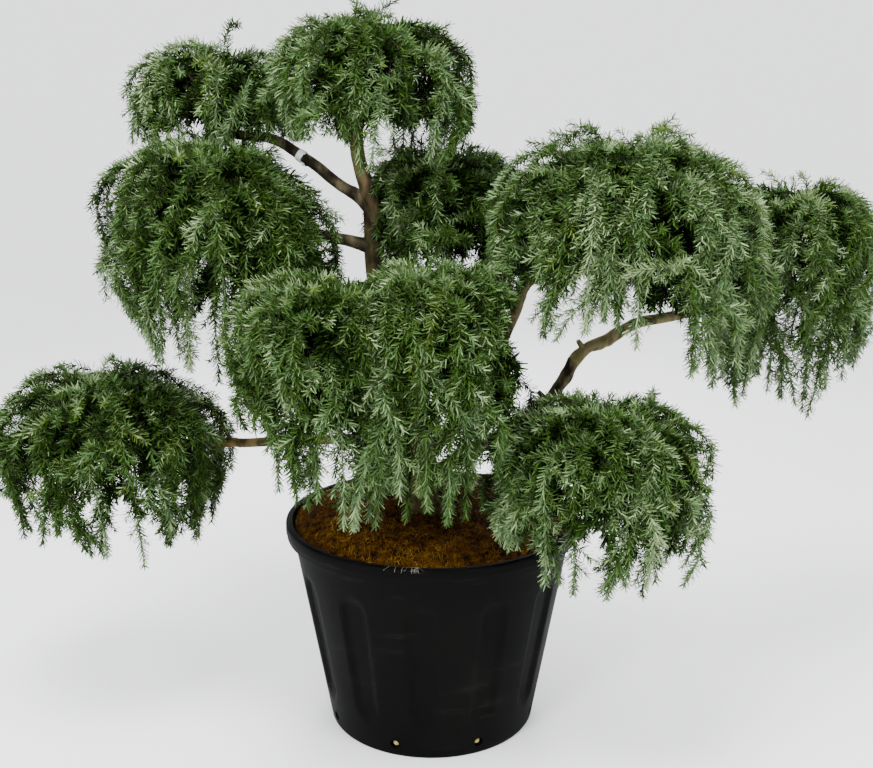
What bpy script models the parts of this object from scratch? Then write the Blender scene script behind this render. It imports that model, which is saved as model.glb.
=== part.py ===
"""Weeping deodar cedar, pruned to separate pads on bare limbs, in a black nursery pot.

Units are metres and +Z is up. The origin is the centre of the pot's flat underside,
X runs to the right of the front view and Y runs away from the viewer.
"""

import math
import random
from collections import namedtuple

import bmesh
import bpy
from mathutils import Vector
from mathutils.bvhtree import BVHTree

# Gap between pieces that touch on the real plant
CLEARANCE = 0.0003
SEED = 23
UP = Vector((0, 0, 1))

# Pot: a tapered wall with twelve fluted panels, under a lip that stands proud
POT_HEIGHT = 0.484
POT_BASE_RADIUS = 0.237
POT_TOP_RADIUS = 0.323
LIP_RADIUS = 0.334
LIP_HEIGHT = 0.036
LIP_WIDTH = 0.015
LIP_DRAFT = 0.001
FOOT_CHAMFER = 0.004
WALL_THICKNESS = 0.005
FLOOR_THICKNESS = 0.012
FLUTES = 12
FLUTE_DEPTH = 0.009
FLUTE_HALF_ANGLE = math.radians(7.0)
FLUTE_FLOOR_SHARE = 0.6
FLUTE_TURN = math.radians(-94.0)
FLUTE_BOTTOM = 0.085
FLUTE_TOP = 0.385
FLUTE_RUNOUT = 0.032
DRAIN_HOLES = 8
DRAIN_RADIUS = 0.010
DRAIN_SIDES = 6
DRAIN_HEIGHT = 0.030
DRAIN_TURN = math.radians(-87.0)
DRAIN_CUT_MARGIN = 0.010

# Fibre-topped soil, heaped a little towards the trunk and the back left
SOIL_EDGE_HEIGHT = 0.470
GROUND = 0.498
GROUND_FLAT_RADIUS = 0.090
GROUND_SHOULDER_SHARE = 0.70
SOIL_STEEPNESS = 1.6
SOIL_HEAP = 0.018
SOIL_HEAP_LEAN = 0.8
SOIL_RIPPLE = 0.004

# Trunk: its line in X and Z, its taper and its root flare
TRUNK_LINE = (
    (-0.004, GROUND),
    (-0.022, 0.600),
    (-0.060, 0.755),
    (-0.100, 0.930),
    (-0.123, 1.060),
    (-0.130, 1.190),
    (-0.159, 1.307),
    (-0.152, 1.430),
)
TRUNK_SIDES = 10
TRUNK_FOOT_RADIUS = 0.041
TRUNK_TIP_RADIUS = 0.0115
FLARE_HEIGHT = 0.070
FLARE_RADIUS = 0.018
FLARE_LOBES = 5
FLARE_LOBE_DEPTH = 0.35
FLARE_SHARES = (0, 0.2, 0.5, 1)
RING_SPACING = 0.078
CURVE_STEPS = 12

# Boughs: height on the trunk, thickness there, and the bends of the bare stretch
BOUGH_SIDES = 6
BOUGH_RING_START = Vector((0.1, 1, 0.05))
BOUGH_TIP_RADIUS = 0.0105
COLLAR_GAIN = 0.28
COLLAR_LENGTH = 0.030
TURN_UP_RISE = 0.046
TURN_UP_RUN = 0.020
STUB_SIDES = 5
STUB_ROOT_GAIN = 1.2
STUB_TIP_SHARE = 0.8

# Masses: each pad is a dome with a hanging skirt, cut into sectors round its bough's tip
SECTOR_MARGIN = 0.0015
SAME_POINT = 0.000002

# Core of a mass: a lumpy slice of a shell, its sizes as shares of the pad's
CORE_OUTER = 0.78
CORE_INNER = 0.52
CORE_MIDDLE = (CORE_OUTER + CORE_INNER) / 2
CORE_SKIRT = 0.45
CORE_LEAST_SKIRT = 0.010
CORE_LUMP = 0.05
CORE_VARIATION = (0.7, 1.3)
CORE_COLUMN_ANGLE = math.radians(31)
CORE_RISES = (0.0, 0.75)
# The skirt is notched over the bough, in this stretch of its way in
BOUGH_ZONE = (0.4, 1.1)
BOUGH_ROOM = 0.014

# Tufts on the core, made shorter until they clear the neighbouring pads
TUFT_LENGTH = 0.034
TUFT_DROOP = 0.75
TUFT_LIFT = 0.8
TUFT_SHARES = (1.0, 0.7, 0.4, 0.1)

# Stem of a mass
STEM_RADIUS = 0.0027
STEM_GAIN = 0.5
STEM_CIRCLE = 0.0073
STEM_GOAL_RISE = math.radians(50)
STEM_UPRIGHT = 0.6

# Sprays: a slim core with tufts of needles that stand out of it and lean to its tip
SPRAY_STEPS = 4
SPRAY_CORE = 0.010
SPRAY_CORE_TAPER = 0.35
SPRAY_ROOT_SHARE = 0.75
SPRAY_REACH = 0.026
SPRAY_REACH_TAPER = 0.3
SPRAY_LEAN = 0.42
SPRAY_CLEARANCE = 0.0012
SPRAY_WIDTHS = (0.85, 1.15)
LEADER_WIDTH = 0.85
LEADER_RISES = (0.35, 1.35)
LEADER_ARCH = 0.012
# Under 1, the rings of a spray crowd towards its tip
TIP_CROWDING = 0.7
# A spray that finds no room is tried again, each time narrower and shorter
TRIES = 7
WIDTH_LOSS = 0.08
DROP_LOSS = 0.10
DOME_LOSS = 0.03

# Ranges that sprays are drawn from: places and reaches as shares of the pad's size,
# drops as shares of the way down to its hem, rises as angles above its shoulder
PLACE_VARIATION = 0.06
HANGING = {"root_drop": (0.10, 0.25), "arch": (1.04, 1.12), "tip": (0.90, 0.98), "drop": (0.80, 1.0)}
HANGING_LIFT = 0.02
DRAPED = {"rise": (0.35, 0.60), "arch": (1.15, 1.25), "tip": (0.98, 1.04), "drop": (0.15, 0.40)}
DRAPED_ARCH_RISE = 0.45
DOME = {"rise": (0.8, 1.2), "tip": (1.12, 1.20)}
DOME_DIP = 0.1
DOME_ARCH = 0.015

# Where in its sector each spray starts, and how it grows
SPRAY_KINDS = (
    (0.12, "hanging"),
    (0.50, "hanging"),
    (0.88, "hanging"),
    (0.40, "draped"),
    (0.65, "dome"),
)

Bough = namedtuple("Bough", "name height radius bends")
Pad = namedtuple("Pad", "name centre radii top shoulder hub hems sectors turn leaders")

BOUGHS = {
    "crown_upper_left": Bough("bough_upper_left", 1.180, 0.0125, (
        (-0.160, 0.008, 1.208), (-0.220, 0.015, 1.247), (-0.332, 0.050, 1.323))),
    "crown_mid_left": Bough("bough_mid_left", 1.098, 0.0125, (
        (-0.190, -0.010, 1.117), (-0.262, -0.020, 1.128), (-0.350, -0.026, 1.138))),
    "crown_centre": Bough("bough_centre", 1.045, 0.0110, (
        (-0.065, 0.035, 1.080),)),
    "crown_front_left": Bough("bough_front_left", 0.715, 0.0140, (
        (-0.100, -0.080, 0.770), (-0.170, -0.170, 0.830))),
    "crown_front_right": Bough("bough_front_right", 0.800, 0.0130, (
        (-0.040, -0.090, 0.835), (0.005, -0.180, 0.860))),
    "crown_right": Bough("bough_right", 0.620, 0.0165, (
        (0.030, -0.012, 0.675), (0.086, -0.020, 0.749), (0.179, -0.025, 0.952),
        (0.215, -0.030, 1.030), (0.300, -0.065, 1.075))),
    "crown_far_right": Bough("bough_far_right", 0.565, 0.0150, (
        (0.110, 0.040, 0.632), (0.249, 0.050, 0.714), (0.287, 0.050, 0.766), (0.344, 0.052, 0.860),
        (0.393, 0.060, 0.878), (0.471, 0.080, 0.917), (0.620, 0.125, 0.938), (0.767, 0.150, 0.958))),
    "crown_lower_right": Bough("bough_lower_right", 0.560, 0.0130, (
        (0.080, -0.070, 0.590), (0.190, -0.150, 0.612))),
    "crown_lower_left": Bough("bough_lower_left", 0.668, 0.0105, (
        (-0.160, -0.004, 0.664), (-0.299, 0.000, 0.661), (-0.412, -0.002, 0.657),
        (-0.508, -0.005, 0.656), (-0.640, -0.014, 0.656))),
    "crown_back": Bough("bough_back", 0.655, 0.0125, (
        (-0.070, 0.090, 0.690), (-0.085, 0.170, 0.735))),
}

# Two short stubs of cut side twigs on the kinked far right bough: place, direction, length
STUBS = (
    ((0.268, 0.050, 0.738), (-0.70, 0.10, 0.70), 0.040),
    ((0.345, 0.052, 0.862), (-0.25, -0.30, 0.92), 0.042),
)
STUB_RADIUS = 0.0065

# Lowest tips are given at the left, front, right and back of each pad
PADS = (
    Pad("crown_top", (-0.130, 0.000), (0.205, 0.190), 1.578, 1.462, None,
        (1.317, 1.258, 1.296, 1.290), 4, 175, ((-0.158, -0.022, 1.607), (0.044, 0.030, 1.568))),
    Pad("crown_upper_left", (-0.483, 0.140), (0.163, 0.150), 1.508, 1.432, 1.390,
        (1.300, 1.270, 1.300, 1.290), 3, -75, ((-0.445, 0.140, 1.555), (-0.690, 0.120, 1.376))),
    Pad("crown_mid_left", (-0.439, -0.030), (0.258, 0.215), 1.330, 1.190, 1.165,
        (0.925, 0.802, 1.005, 0.900), 4, 135, ((-0.480, -0.030, 1.340),)),
    Pad("crown_centre", (0.022, 0.098), (0.168, 0.150), 1.290, 1.206, 1.160,
        (1.068, 1.012, 1.033, 1.050), 3, 75, ()),
    Pad("crown_front_left", (-0.240, -0.280), (0.168, 0.160), 1.056, 0.965, 0.915,
        (0.790, 0.580, 0.610, 0.760), 3, 30, ()),
    Pad("crown_front_right", (0.042, -0.280), (0.158, 0.160), 1.090, 0.975, 0.925,
        (0.604, 0.605, 0.735, 0.770), 3, 90, ()),
    Pad("crown_right", (0.417, -0.100), (0.303, 0.215), 1.348, 1.165, 1.125,
        (0.930, 0.860, 0.760, 0.950), 5, -20, ((0.455, -0.090, 1.360), (0.172, -0.120, 1.257))),
    Pad("crown_far_right", (0.847, 0.160), (0.170, 0.160), 1.212, 1.109, 1.060,
        (0.715, 0.702, 0.800, 0.760), 3, 65,
        ((0.810, 0.182, 1.243), (0.890, 0.138, 1.235), (1.005, 0.140, 1.179))),
    Pad("crown_lower_right", (0.345, -0.265), (0.218, 0.185), 0.810, 0.700, 0.668,
        (0.560, 0.412, 0.470, 0.560), 3, -45, ((0.456, -0.240, 0.820), (0.566, -0.220, 0.716))),
    Pad("crown_lower_left", (-0.717, -0.020), (0.246, 0.190), 0.806, 0.700, 0.704,
        (0.520, 0.400, 0.440, 0.450), 4, 160, ((-0.780, -0.050, 0.833), (-0.575, 0.030, 0.768))),
    Pad("crown_back", (-0.110, 0.285), (0.200, 0.160), 0.930, 0.850, 0.800,
        (0.640, 0.680, 0.640, 0.600), 3, 30, ()),
)

BARK_COLOUR = (0.145, 0.115, 0.085)
POT_COLOUR = (0.016, 0.016, 0.018)
SOIL_COLOUR = (0.150, 0.070, 0.028)
FOLIAGE_COLOURS = (
    (0.085, 0.150, 0.085),
    (0.100, 0.170, 0.080),
    (0.070, 0.135, 0.090),
    (0.120, 0.185, 0.105),
)


def clear_scene():
    for old in list(bpy.data.objects):
        bpy.data.objects.remove(old)


def material(name, colour, roughness):
    paint = bpy.data.materials.new(name)
    paint.use_nodes = True
    shader = paint.node_tree.nodes["Principled BSDF"]
    shader.inputs["Base Color"].default_value = (*colour, 1)
    shader.inputs["Roughness"].default_value = roughness
    shader.inputs["Metallic"].default_value = 0
    return paint


def link_mesh(name, points, faces, paint=None):
    """A new object from points and faces, in the scene."""
    mesh = bpy.data.meshes.new(name)
    mesh.from_pydata([tuple(point) for point in points], [], faces)
    mesh.update()
    if paint:
        mesh.materials.append(paint)
    thing = bpy.data.objects.new(name, mesh)
    bpy.context.scene.collection.objects.link(thing)
    return thing


def apply_modifiers(thing):
    """Replaces the object's mesh by the one its modifiers give."""
    graph = bpy.context.evaluated_depsgraph_get()
    result = bpy.data.meshes.new_from_object(thing.evaluated_get(graph))
    thing.modifiers.clear()
    thing.data = result


def keep_largest_shell(thing):
    """Drops loose scraps and fills sealed hollows, and leaves triangles. True if it is closed."""
    shape = bmesh.new()
    shape.from_mesh(thing.data)
    left = set(shape.verts)
    shells = []
    while left:
        shell = {left.pop()}
        waiting = list(shell)
        while waiting:
            vert = waiting.pop()
            near = {edge.other_vert(vert) for edge in vert.link_edges} & left
            waiting.extend(near)
            shell |= near
            left -= near
        shells.append(shell)
    largest = max(shells, key=len)
    bmesh.ops.delete(shape, geom=[v for v in shape.verts if v not in largest], context="VERTS")
    bmesh.ops.triangulate(shape, faces=shape.faces[:])
    bmesh.ops.remove_doubles(shape, verts=shape.verts[:], dist=SAME_POINT)
    bmesh.ops.dissolve_degenerate(shape, edges=shape.edges[:], dist=SAME_POINT)
    bmesh.ops.triangulate(shape, faces=shape.faces[:])
    shape.to_mesh(thing.data)
    closed = all(edge.is_manifold for edge in shape.edges)
    shape.free()
    return closed


def boolean(thing, others, operation):
    """Joins the others to the object, or cuts them from it, and removes them.

    The exact solver comes first, and the manifold one where its result isn't closed.
    """
    group = bpy.data.collections.new(thing.name + "_pieces")
    bpy.context.scene.collection.children.link(group)
    for other in others:
        bpy.context.scene.collection.objects.unlink(other)
        group.objects.link(other)
    before = thing.data
    for solver in ("EXACT", "MANIFOLD"):
        thing.data = before
        change = thing.modifiers.new("pieces", "BOOLEAN")
        change.operation = operation
        change.solver = solver
        change.operand_type = "COLLECTION"
        change.collection = group
        apply_modifiers(thing)
        if keep_largest_shell(thing):
            break
    for other in list(group.objects):
        bpy.data.objects.remove(other)
    bpy.data.collections.remove(group)


def shade(thing, sharp_angle):
    thing.data.shade_smooth()
    thing.data.set_sharp_from_angle(angle=math.radians(sharp_angle))


def stack_of_rings(rings):
    """Points and faces of a closed body through rings of equal length, capped flat."""
    count = len(rings[0])
    points = [point for ring in rings for point in ring]
    faces = [tuple(range(count))[::-1]]
    for level in range(len(rings) - 1):
        low = level * count
        high = low + count
        for side in range(count):
            after = (side + 1) % count
            faces.append((low + side, low + after, high + after, high + side))
    faces.append(tuple(range(len(points) - count, len(points))))
    return points, faces


def smooth_line(knots, spacing):
    """Evenly spaced points on a smooth curve through the knots."""
    knots = [Vector(knot) for knot in knots]
    padded = [2 * knots[0] - knots[1], *knots, 2 * knots[-1] - knots[-2]]
    fine = []
    for a, b, c, d in zip(padded, padded[1:], padded[2:], padded[3:]):
        for step in range(CURVE_STEPS):
            t = step / CURVE_STEPS
            fine.append(0.5 * (2 * b + (c - a) * t + (2 * a - 5 * b + 4 * c - d) * t ** 2
                               + (3 * b - a - 3 * c + d) * t ** 3))
    fine.append(knots[-1])
    reach = [0.0]
    for p, q in zip(fine, fine[1:]):
        reach.append(reach[-1] + (q - p).length)
    count = max(2, round(reach[-1] / spacing))
    line = []
    place = 0
    for step in range(count + 1):
        wanted = reach[-1] * step / count
        while place < len(reach) - 2 and reach[place + 1] < wanted:
            place += 1
        share = (wanted - reach[place]) / (reach[place + 1] - reach[place])
        line.append(fine[place].lerp(fine[place + 1], min(1, share)))
    return line


def tangents(line):
    ends = [line[0], *line, line[-1]]
    return [(after - before).normalized() for before, after in zip(ends, ends[2:])]


def ring_round(centre, normal, radius, sides, side_ways=None):
    """A ring of points round the normal, its first point towards side_ways."""
    across = (side_ways or Vector((1, 0, 0))).copy()
    across -= normal * across.dot(normal)
    across.normalize()
    other = normal.cross(across)
    turn = math.tau / sides
    return [centre + radius * (math.cos(turn * k) * across + math.sin(turn * k) * other)
            for k in range(sides)]


# Pot and soil

def pot_angles():
    """Four corners for each flute: its two edges and the two edges of its floor."""
    angles = []
    for flute in range(FLUTES):
        middle = FLUTE_TURN + math.tau * flute / FLUTES
        for share in (-1.0, -FLUTE_FLOOR_SHARE, FLUTE_FLOOR_SHARE, 1.0):
            angles.append(middle + share * FLUTE_HALF_ANGLE)
    return angles


def pot_wall_radius(height):
    return POT_BASE_RADIUS + (POT_TOP_RADIUS - POT_BASE_RADIUS) * height / POT_HEIGHT


def pot_inner_radius(height):
    """The inside is plain: it passes behind the flutes, then widens to the lip."""
    level = min(height, FLUTE_TOP)
    behind_flutes = pot_wall_radius(level) - WALL_THICKNESS - FLUTE_DEPTH
    share = (height - level) / (POT_HEIGHT - FLUTE_TOP)
    return behind_flutes + (LIP_RADIUS - LIP_WIDTH - behind_flutes) * share


def pot_ring(radius, height, groove=0.0):
    ring = []
    for corner, angle in enumerate(pot_angles()):
        reach = radius - (groove if corner % 4 in (1, 2) else 0.0)
        ring.append(Vector((reach * math.cos(angle), reach * math.sin(angle), height)))
    return ring


def make_pot(paint):
    lip_low = POT_HEIGHT - LIP_HEIGHT
    wall_levels = (
        (FOOT_CHAMFER, 0.0),
        (FLUTE_BOTTOM, 0.0),
        (FLUTE_BOTTOM + FLUTE_RUNOUT, FLUTE_DEPTH),
        (FLUTE_TOP - FLUTE_RUNOUT, FLUTE_DEPTH),
        (FLUTE_TOP, 0.0),
        (lip_low, 0.0),
    )
    rings = [pot_ring(POT_BASE_RADIUS - FOOT_CHAMFER, 0.0)]
    rings += [pot_ring(pot_wall_radius(height), height, groove) for height, groove in wall_levels]
    rings += [
        pot_ring(LIP_RADIUS - LIP_DRAFT, lip_low),
        pot_ring(LIP_RADIUS, POT_HEIGHT - FOOT_CHAMFER),
        pot_ring(LIP_RADIUS - FOOT_CHAMFER, POT_HEIGHT),
        pot_ring(LIP_RADIUS - LIP_WIDTH, POT_HEIGHT),
        pot_ring(pot_inner_radius(FLUTE_TOP), FLUTE_TOP),
        pot_ring(pot_inner_radius(FLOOR_THICKNESS), FLOOR_THICKNESS),
    ]
    pot = link_mesh("pot", *stack_of_rings(rings), paint)
    boolean(pot, [drain_cutter(hole) for hole in range(DRAIN_HOLES)], "DIFFERENCE")
    shade(pot, 35)
    return pot


def drain_cutter(hole):
    """A short bar through the foot of the wall, square to it."""
    angle = DRAIN_TURN + math.tau * (hole + 0.5) / DRAIN_HOLES
    outward = Vector((math.cos(angle), math.sin(angle), 0))
    inside = pot_inner_radius(DRAIN_HEIGHT) - DRAIN_CUT_MARGIN
    outside = pot_wall_radius(DRAIN_HEIGHT) + DRAIN_CUT_MARGIN
    rings = [ring_round(outward * reach + UP * DRAIN_HEIGHT, outward, DRAIN_RADIUS, DRAIN_SIDES, UP)
             for reach in (inside, outside)]
    return link_mesh("drain_cutter", *stack_of_rings(rings))


def soil_height(x, y):
    """A low heap with shallow ripples, highest at the back left."""
    radius = math.hypot(x, y)
    edge = pot_inner_radius(SOIL_EDGE_HEIGHT)
    share = max(0, 1 - (radius / edge) ** 2)
    level = SOIL_EDGE_HEIGHT + (GROUND - SOIL_EDGE_HEIGHT) * min(1, SOIL_STEEPNESS * share)
    heap = SOIL_HEAP * share * (1 + SOIL_HEAP_LEAN * (y - x) / edge)
    ripple = SOIL_RIPPLE * share * math.sin(31 * x + 3) * math.sin(27 * y + 1)
    return level + heap + ripple


def make_soil(paint):
    bottom = FLOOR_THICKNESS + CLEARANCE
    inner_step = 1 / math.cos(math.pi / FLUTES / 2)
    levels = (bottom, FLUTE_TOP, SOIL_EDGE_HEIGHT)
    rings = [pot_ring(pot_inner_radius(level) - CLEARANCE * inner_step, level) for level in levels]
    shoulder = pot_ring(pot_inner_radius(SOIL_EDGE_HEIGHT) * GROUND_SHOULDER_SHARE, 0)
    rings.append([Vector((p.x, p.y, soil_height(p.x, p.y))) for p in shoulder])
    foot_x = TRUNK_LINE[0][0]
    rings.append([p + Vector((foot_x, 0, 0)) for p in pot_ring(GROUND_FLAT_RADIUS, GROUND)])
    soil = link_mesh("soil", *stack_of_rings(rings), paint)
    keep_largest_shell(soil)
    shade(soil, 40)
    return soil


# Trunk and boughs

def trunk_centre(height):
    """The trunk's middle at a height, on a smooth curve through its line."""
    line = smooth_line([(x, 0, z) for x, z in TRUNK_LINE], 0.02)
    above = next((k for k, p in enumerate(line) if p.z >= height), len(line) - 1)
    if above == 0:
        return line[0]
    low, high = line[above - 1], line[above]
    return low.lerp(high, (height - low.z) / (high.z - low.z))


def trunk_radius(height):
    share = (height - GROUND) / (TRUNK_LINE[-1][1] - GROUND)
    return TRUNK_FOOT_RADIUS + (TRUNK_TIP_RADIUS - TRUNK_FOOT_RADIUS) * share


def trunk_rings(extra, foot):
    """Level rings from the flat cut at the ground to the tip, with lobed root flare."""
    top = TRUNK_LINE[-1][1]
    levels = [foot + FLARE_HEIGHT * share for share in FLARE_SHARES]
    above_flare = top - levels[-1]
    count = round(above_flare / RING_SPACING)
    levels += [top - above_flare * step / count for step in reversed(range(count))]
    rings = []
    for level in levels:
        flare = FLARE_RADIUS * max(0, 1 - (level - foot) / FLARE_HEIGHT) ** 2
        centre = trunk_centre(level)
        ring = []
        for side in range(TRUNK_SIDES):
            angle = math.tau * side / TRUNK_SIDES
            lobe = 1 + FLARE_LOBE_DEPTH * math.cos(FLARE_LOBES * angle)
            radius = trunk_radius(level) + flare * lobe + extra
            outward = Vector((math.cos(angle), math.sin(angle), 0))
            ring.append(Vector((centre.x, 0, level)) + radius * outward)
        rings.append(ring)
    return rings


def make_trunk(paint):
    trunk = link_mesh("trunk", *stack_of_rings(trunk_rings(0, GROUND + CLEARANCE)), paint)
    keep_largest_shell(trunk)
    shade(trunk, 60)
    return trunk


def bough_line(bough, pad):
    """From inside the trunk, through the bends, to a short upward turn under the pad's middle."""
    tip = Vector((*pad.centre, pad.hub))
    arrival = Vector((tip.x - bough.bends[-1][0], tip.y - bough.bends[-1][1], 0)).normalized()
    before = tip - arrival * TURN_UP_RUN - UP * TURN_UP_RISE
    return smooth_line([trunk_centre(bough.height), *bough.bends, before, tip], RING_SPACING)


def make_bough(bough, pad, paint):
    line = bough_line(bough, pad)
    normals = tangents(line)
    normals[-1] = UP
    length = sum((q - p).length for p, q in zip(line, line[1:]))
    walked = 0.0
    rings = []
    for place, (centre, normal) in enumerate(zip(line, normals)):
        if place:
            walked += (centre - line[place - 1]).length
        radius = bough.radius + (BOUGH_TIP_RADIUS - bough.radius) * walked / length
        past_bark = max(0, walked - trunk_radius(bough.height))
        radius *= 1 + COLLAR_GAIN * math.exp(-past_bark / COLLAR_LENGTH)
        rings.append(ring_round(centre, normal, radius, BOUGH_SIDES, BOUGH_RING_START))
    limb = link_mesh(bough.name, *stack_of_rings(rings), paint)
    if bough.name == "bough_far_right":
        boolean(limb, [make_stub(*stub) for stub in STUBS], "UNION")
    cutter = link_mesh("trunk_cutter", *stack_of_rings(trunk_rings(CLEARANCE, GROUND)))
    boolean(limb, [cutter], "DIFFERENCE")
    shade(limb, 60)
    return limb


def make_stub(place, direction, length):
    """A cut side twig, from the middle of the bough outwards."""
    along = Vector(direction).normalized()
    root = Vector(place)
    rings = [
        ring_round(root, along, STUB_RADIUS * STUB_ROOT_GAIN, STUB_SIDES),
        ring_round(root + along * length, along, STUB_RADIUS * STUB_TIP_SHARE, STUB_SIDES),
    ]
    return link_mesh("stub", *stack_of_rings(rings))


# Masses of foliage

def pad_point(pad, angle, rise, share):
    """A point of the pad's dome: angle round it, rise above its shoulder, share of its size."""
    flat = math.cos(rise) * share
    return Vector((
        pad.centre[0] + pad.radii[0] * flat * math.cos(angle),
        pad.centre[1] + pad.radii[1] * flat * math.sin(angle),
        pad.shoulder + (pad.top - pad.shoulder) * math.sin(rise) * share,
    ))


def off_centre(pad, point):
    """Where a point lies from above, as shares of the pad's two half-widths."""
    return Vector(((point.x - pad.centre[0]) / pad.radii[0], (point.y - pad.centre[1]) / pad.radii[1]))


def core_columns(pad):
    return math.ceil(math.tau / pad.sectors / CORE_COLUMN_ANGLE)


def hem_height(pad, angle):
    """The pad's lowest tips at an angle, between the four that are given."""
    left, front, right, back = pad.hems
    across, away = math.cos(angle), math.sin(angle)
    return (across ** 2 * (right if across > 0 else left)
            + away ** 2 * (back if away > 0 else front))


def sector_limits(pad, sector):
    width = math.tau / pad.sectors
    start = math.radians(pad.turn) + sector * width
    return start, start + width


def inside_sector(pad, sector, points):
    """True where every point keeps a small margin to the two planes that bound the sector."""
    for angle, sign in zip(sector_limits(pad, sector), (1, -1)):
        along = Vector((pad.radii[0] * math.cos(angle), pad.radii[1] * math.sin(angle)))
        along.normalize()
        for point in points:
            off = along.x * (point.y - pad.centre[1]) - along.y * (point.x - pad.centre[0])
            if sign * off < SECTOR_MARGIN:
                return False
    return True


def bough_top(pad, angle, line):
    """How high the skirt must stay at an angle, to pass over the bough that comes in there."""
    width = 1.1 * math.tau / pad.sectors / core_columns(pad)
    height = 0
    for point in line:
        away = off_centre(pad, point)
        if not BOUGH_ZONE[0] < away.length < BOUGH_ZONE[1]:
            continue
        off = (math.atan2(away.y, away.x) - angle + math.pi) % math.tau - math.pi
        if abs(off) < width:
            height = max(height, point.z + BOUGH_ROOM + TUFT_LENGTH / 2)
    return height


def core_shape(pad, sector, rng, line, tuft_share):
    """A lumpy slice of the dome and its skirt: outer and inner grids that share their border."""
    start, end = sector_limits(pad, sector)
    middle = (start + end) / 2
    apart = 2 * SECTOR_MARGIN / math.sin((end - start) / 2)
    shift = Vector((math.cos(middle), math.sin(middle), 0)) * apart
    columns = core_columns(pad)
    angles = [start + (end - start) * column / columns for column in range(columns + 1)]
    grids = []
    for size in (CORE_OUTER, CORE_INNER):
        grid = []
        for angle in angles:
            low = pad_point(pad, angle, 0, size) + shift
            drop = pad.shoulder - hem_height(pad, angle)
            low.z -= drop * CORE_SKIRT * rng.uniform(*CORE_VARIATION)
            low.z = min(pad.shoulder - CORE_LEAST_SKIRT, max(low.z, bough_top(pad, angle, line)))
            grid.append(low)
        for rise in CORE_RISES:
            for angle in angles:
                lump = 1 + CORE_LUMP * rng.uniform(-1, 1) * (size == CORE_OUTER)
                grid.append(pad_point(pad, angle, rise, size * lump) + shift)
        grid.append(pad_point(pad, middle, math.pi / 2, size) + shift)
        grids.append(grid)
    points = grids[0] + grids[1]
    wide = columns + 1
    inner = len(grids[0])
    top = inner - 1
    outer_faces = []
    faces = []
    for row in range(len(CORE_RISES) + 1):
        last = row == len(CORE_RISES)
        for column in range(columns):
            a = row * wide + column
            loop = (a, a + 1, top) if last else (a, a + 1, a + wide + 1, a + wide)
            outer_faces.append(loop)
            faces.append(tuple(inner + k for k in reversed(loop)))
        for edge, flip in ((0, False), (columns, True)):
            a = row * wide + edge
            b = top if last else a + wide
            wall = (a, b, inner + b, inner + a)
            faces.append(wall[::-1] if flip else wall)
    for column in range(columns):
        faces.append((column + 1, column, inner + column, inner + column + 1))
    faces = split_quads(faces)
    for loop in outer_faces:
        length = TUFT_LENGTH * tuft_share * rng.uniform(*CORE_VARIATION)
        faces += raise_tuft(points, loop, pad, length)
    return points, faces


def raise_tuft(points, loop, pad, length):
    """A tuft in place of one face of the core: it stands out and droops over its lower edge."""
    middle = sum((points[k] for k in loop), Vector()) / len(loop)
    low = (points[loop[0]] + points[loop[1]]) / 2
    out = Vector((middle.x - pad.centre[0], middle.y - pad.centre[1], 0)).normalized()
    lift = max(0, middle.z - pad.shoulder) / (pad.top - pad.shoulder)
    points.append(middle.lerp(low, TUFT_DROOP) + (out + UP * TUFT_LIFT * lift) * length)
    tuft = len(points) - 1
    return [(loop[k], loop[(k + 1) % len(loop)], tuft) for k in range(len(loop))]


def split_quads(faces):
    """Triangles in place of quads, whose corners need not lie in one plane."""
    split = []
    for face in faces:
        split.append(face[:3])
        if len(face) == 4:
            split.append((face[0], face[2], face[3]))
    return split


def bend(start, over, end, steps, crowding=1.0):
    """Points on a quadratic curve from start, towards over, to end."""
    line = []
    for step in range(steps + 1):
        t = (step / steps) ** crowding
        line.append(start * (1 - t) ** 2 + over * 2 * t * (1 - t) + end * t ** 2)
    return line


def stem_shape(pad, sector, tip):
    """A thin stem from its own place on the bough's end into the middle of the core."""
    start, end = sector_limits(pad, sector)
    middle = (start + end) / 2
    outward = Vector((math.cos(middle), math.sin(middle), 0))
    root = tip + outward * STEM_CIRCLE + UP * CLEARANCE
    goal = pad_point(pad, middle, STEM_GOAL_RISE, CORE_MIDDLE)
    over = root + UP * STEM_UPRIGHT * (goal.z - root.z)
    line = bend(root, over, goal, 2)
    normals = tangents(line)
    normals[0] = UP
    rings = [ring_round(centre, normal, STEM_RADIUS * (1 + STEM_GAIN * place), 3, outward)
             for place, (centre, normal) in enumerate(zip(line, normals))]
    points, faces = stack_of_rings(rings)
    return points, split_quads(faces)


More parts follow.
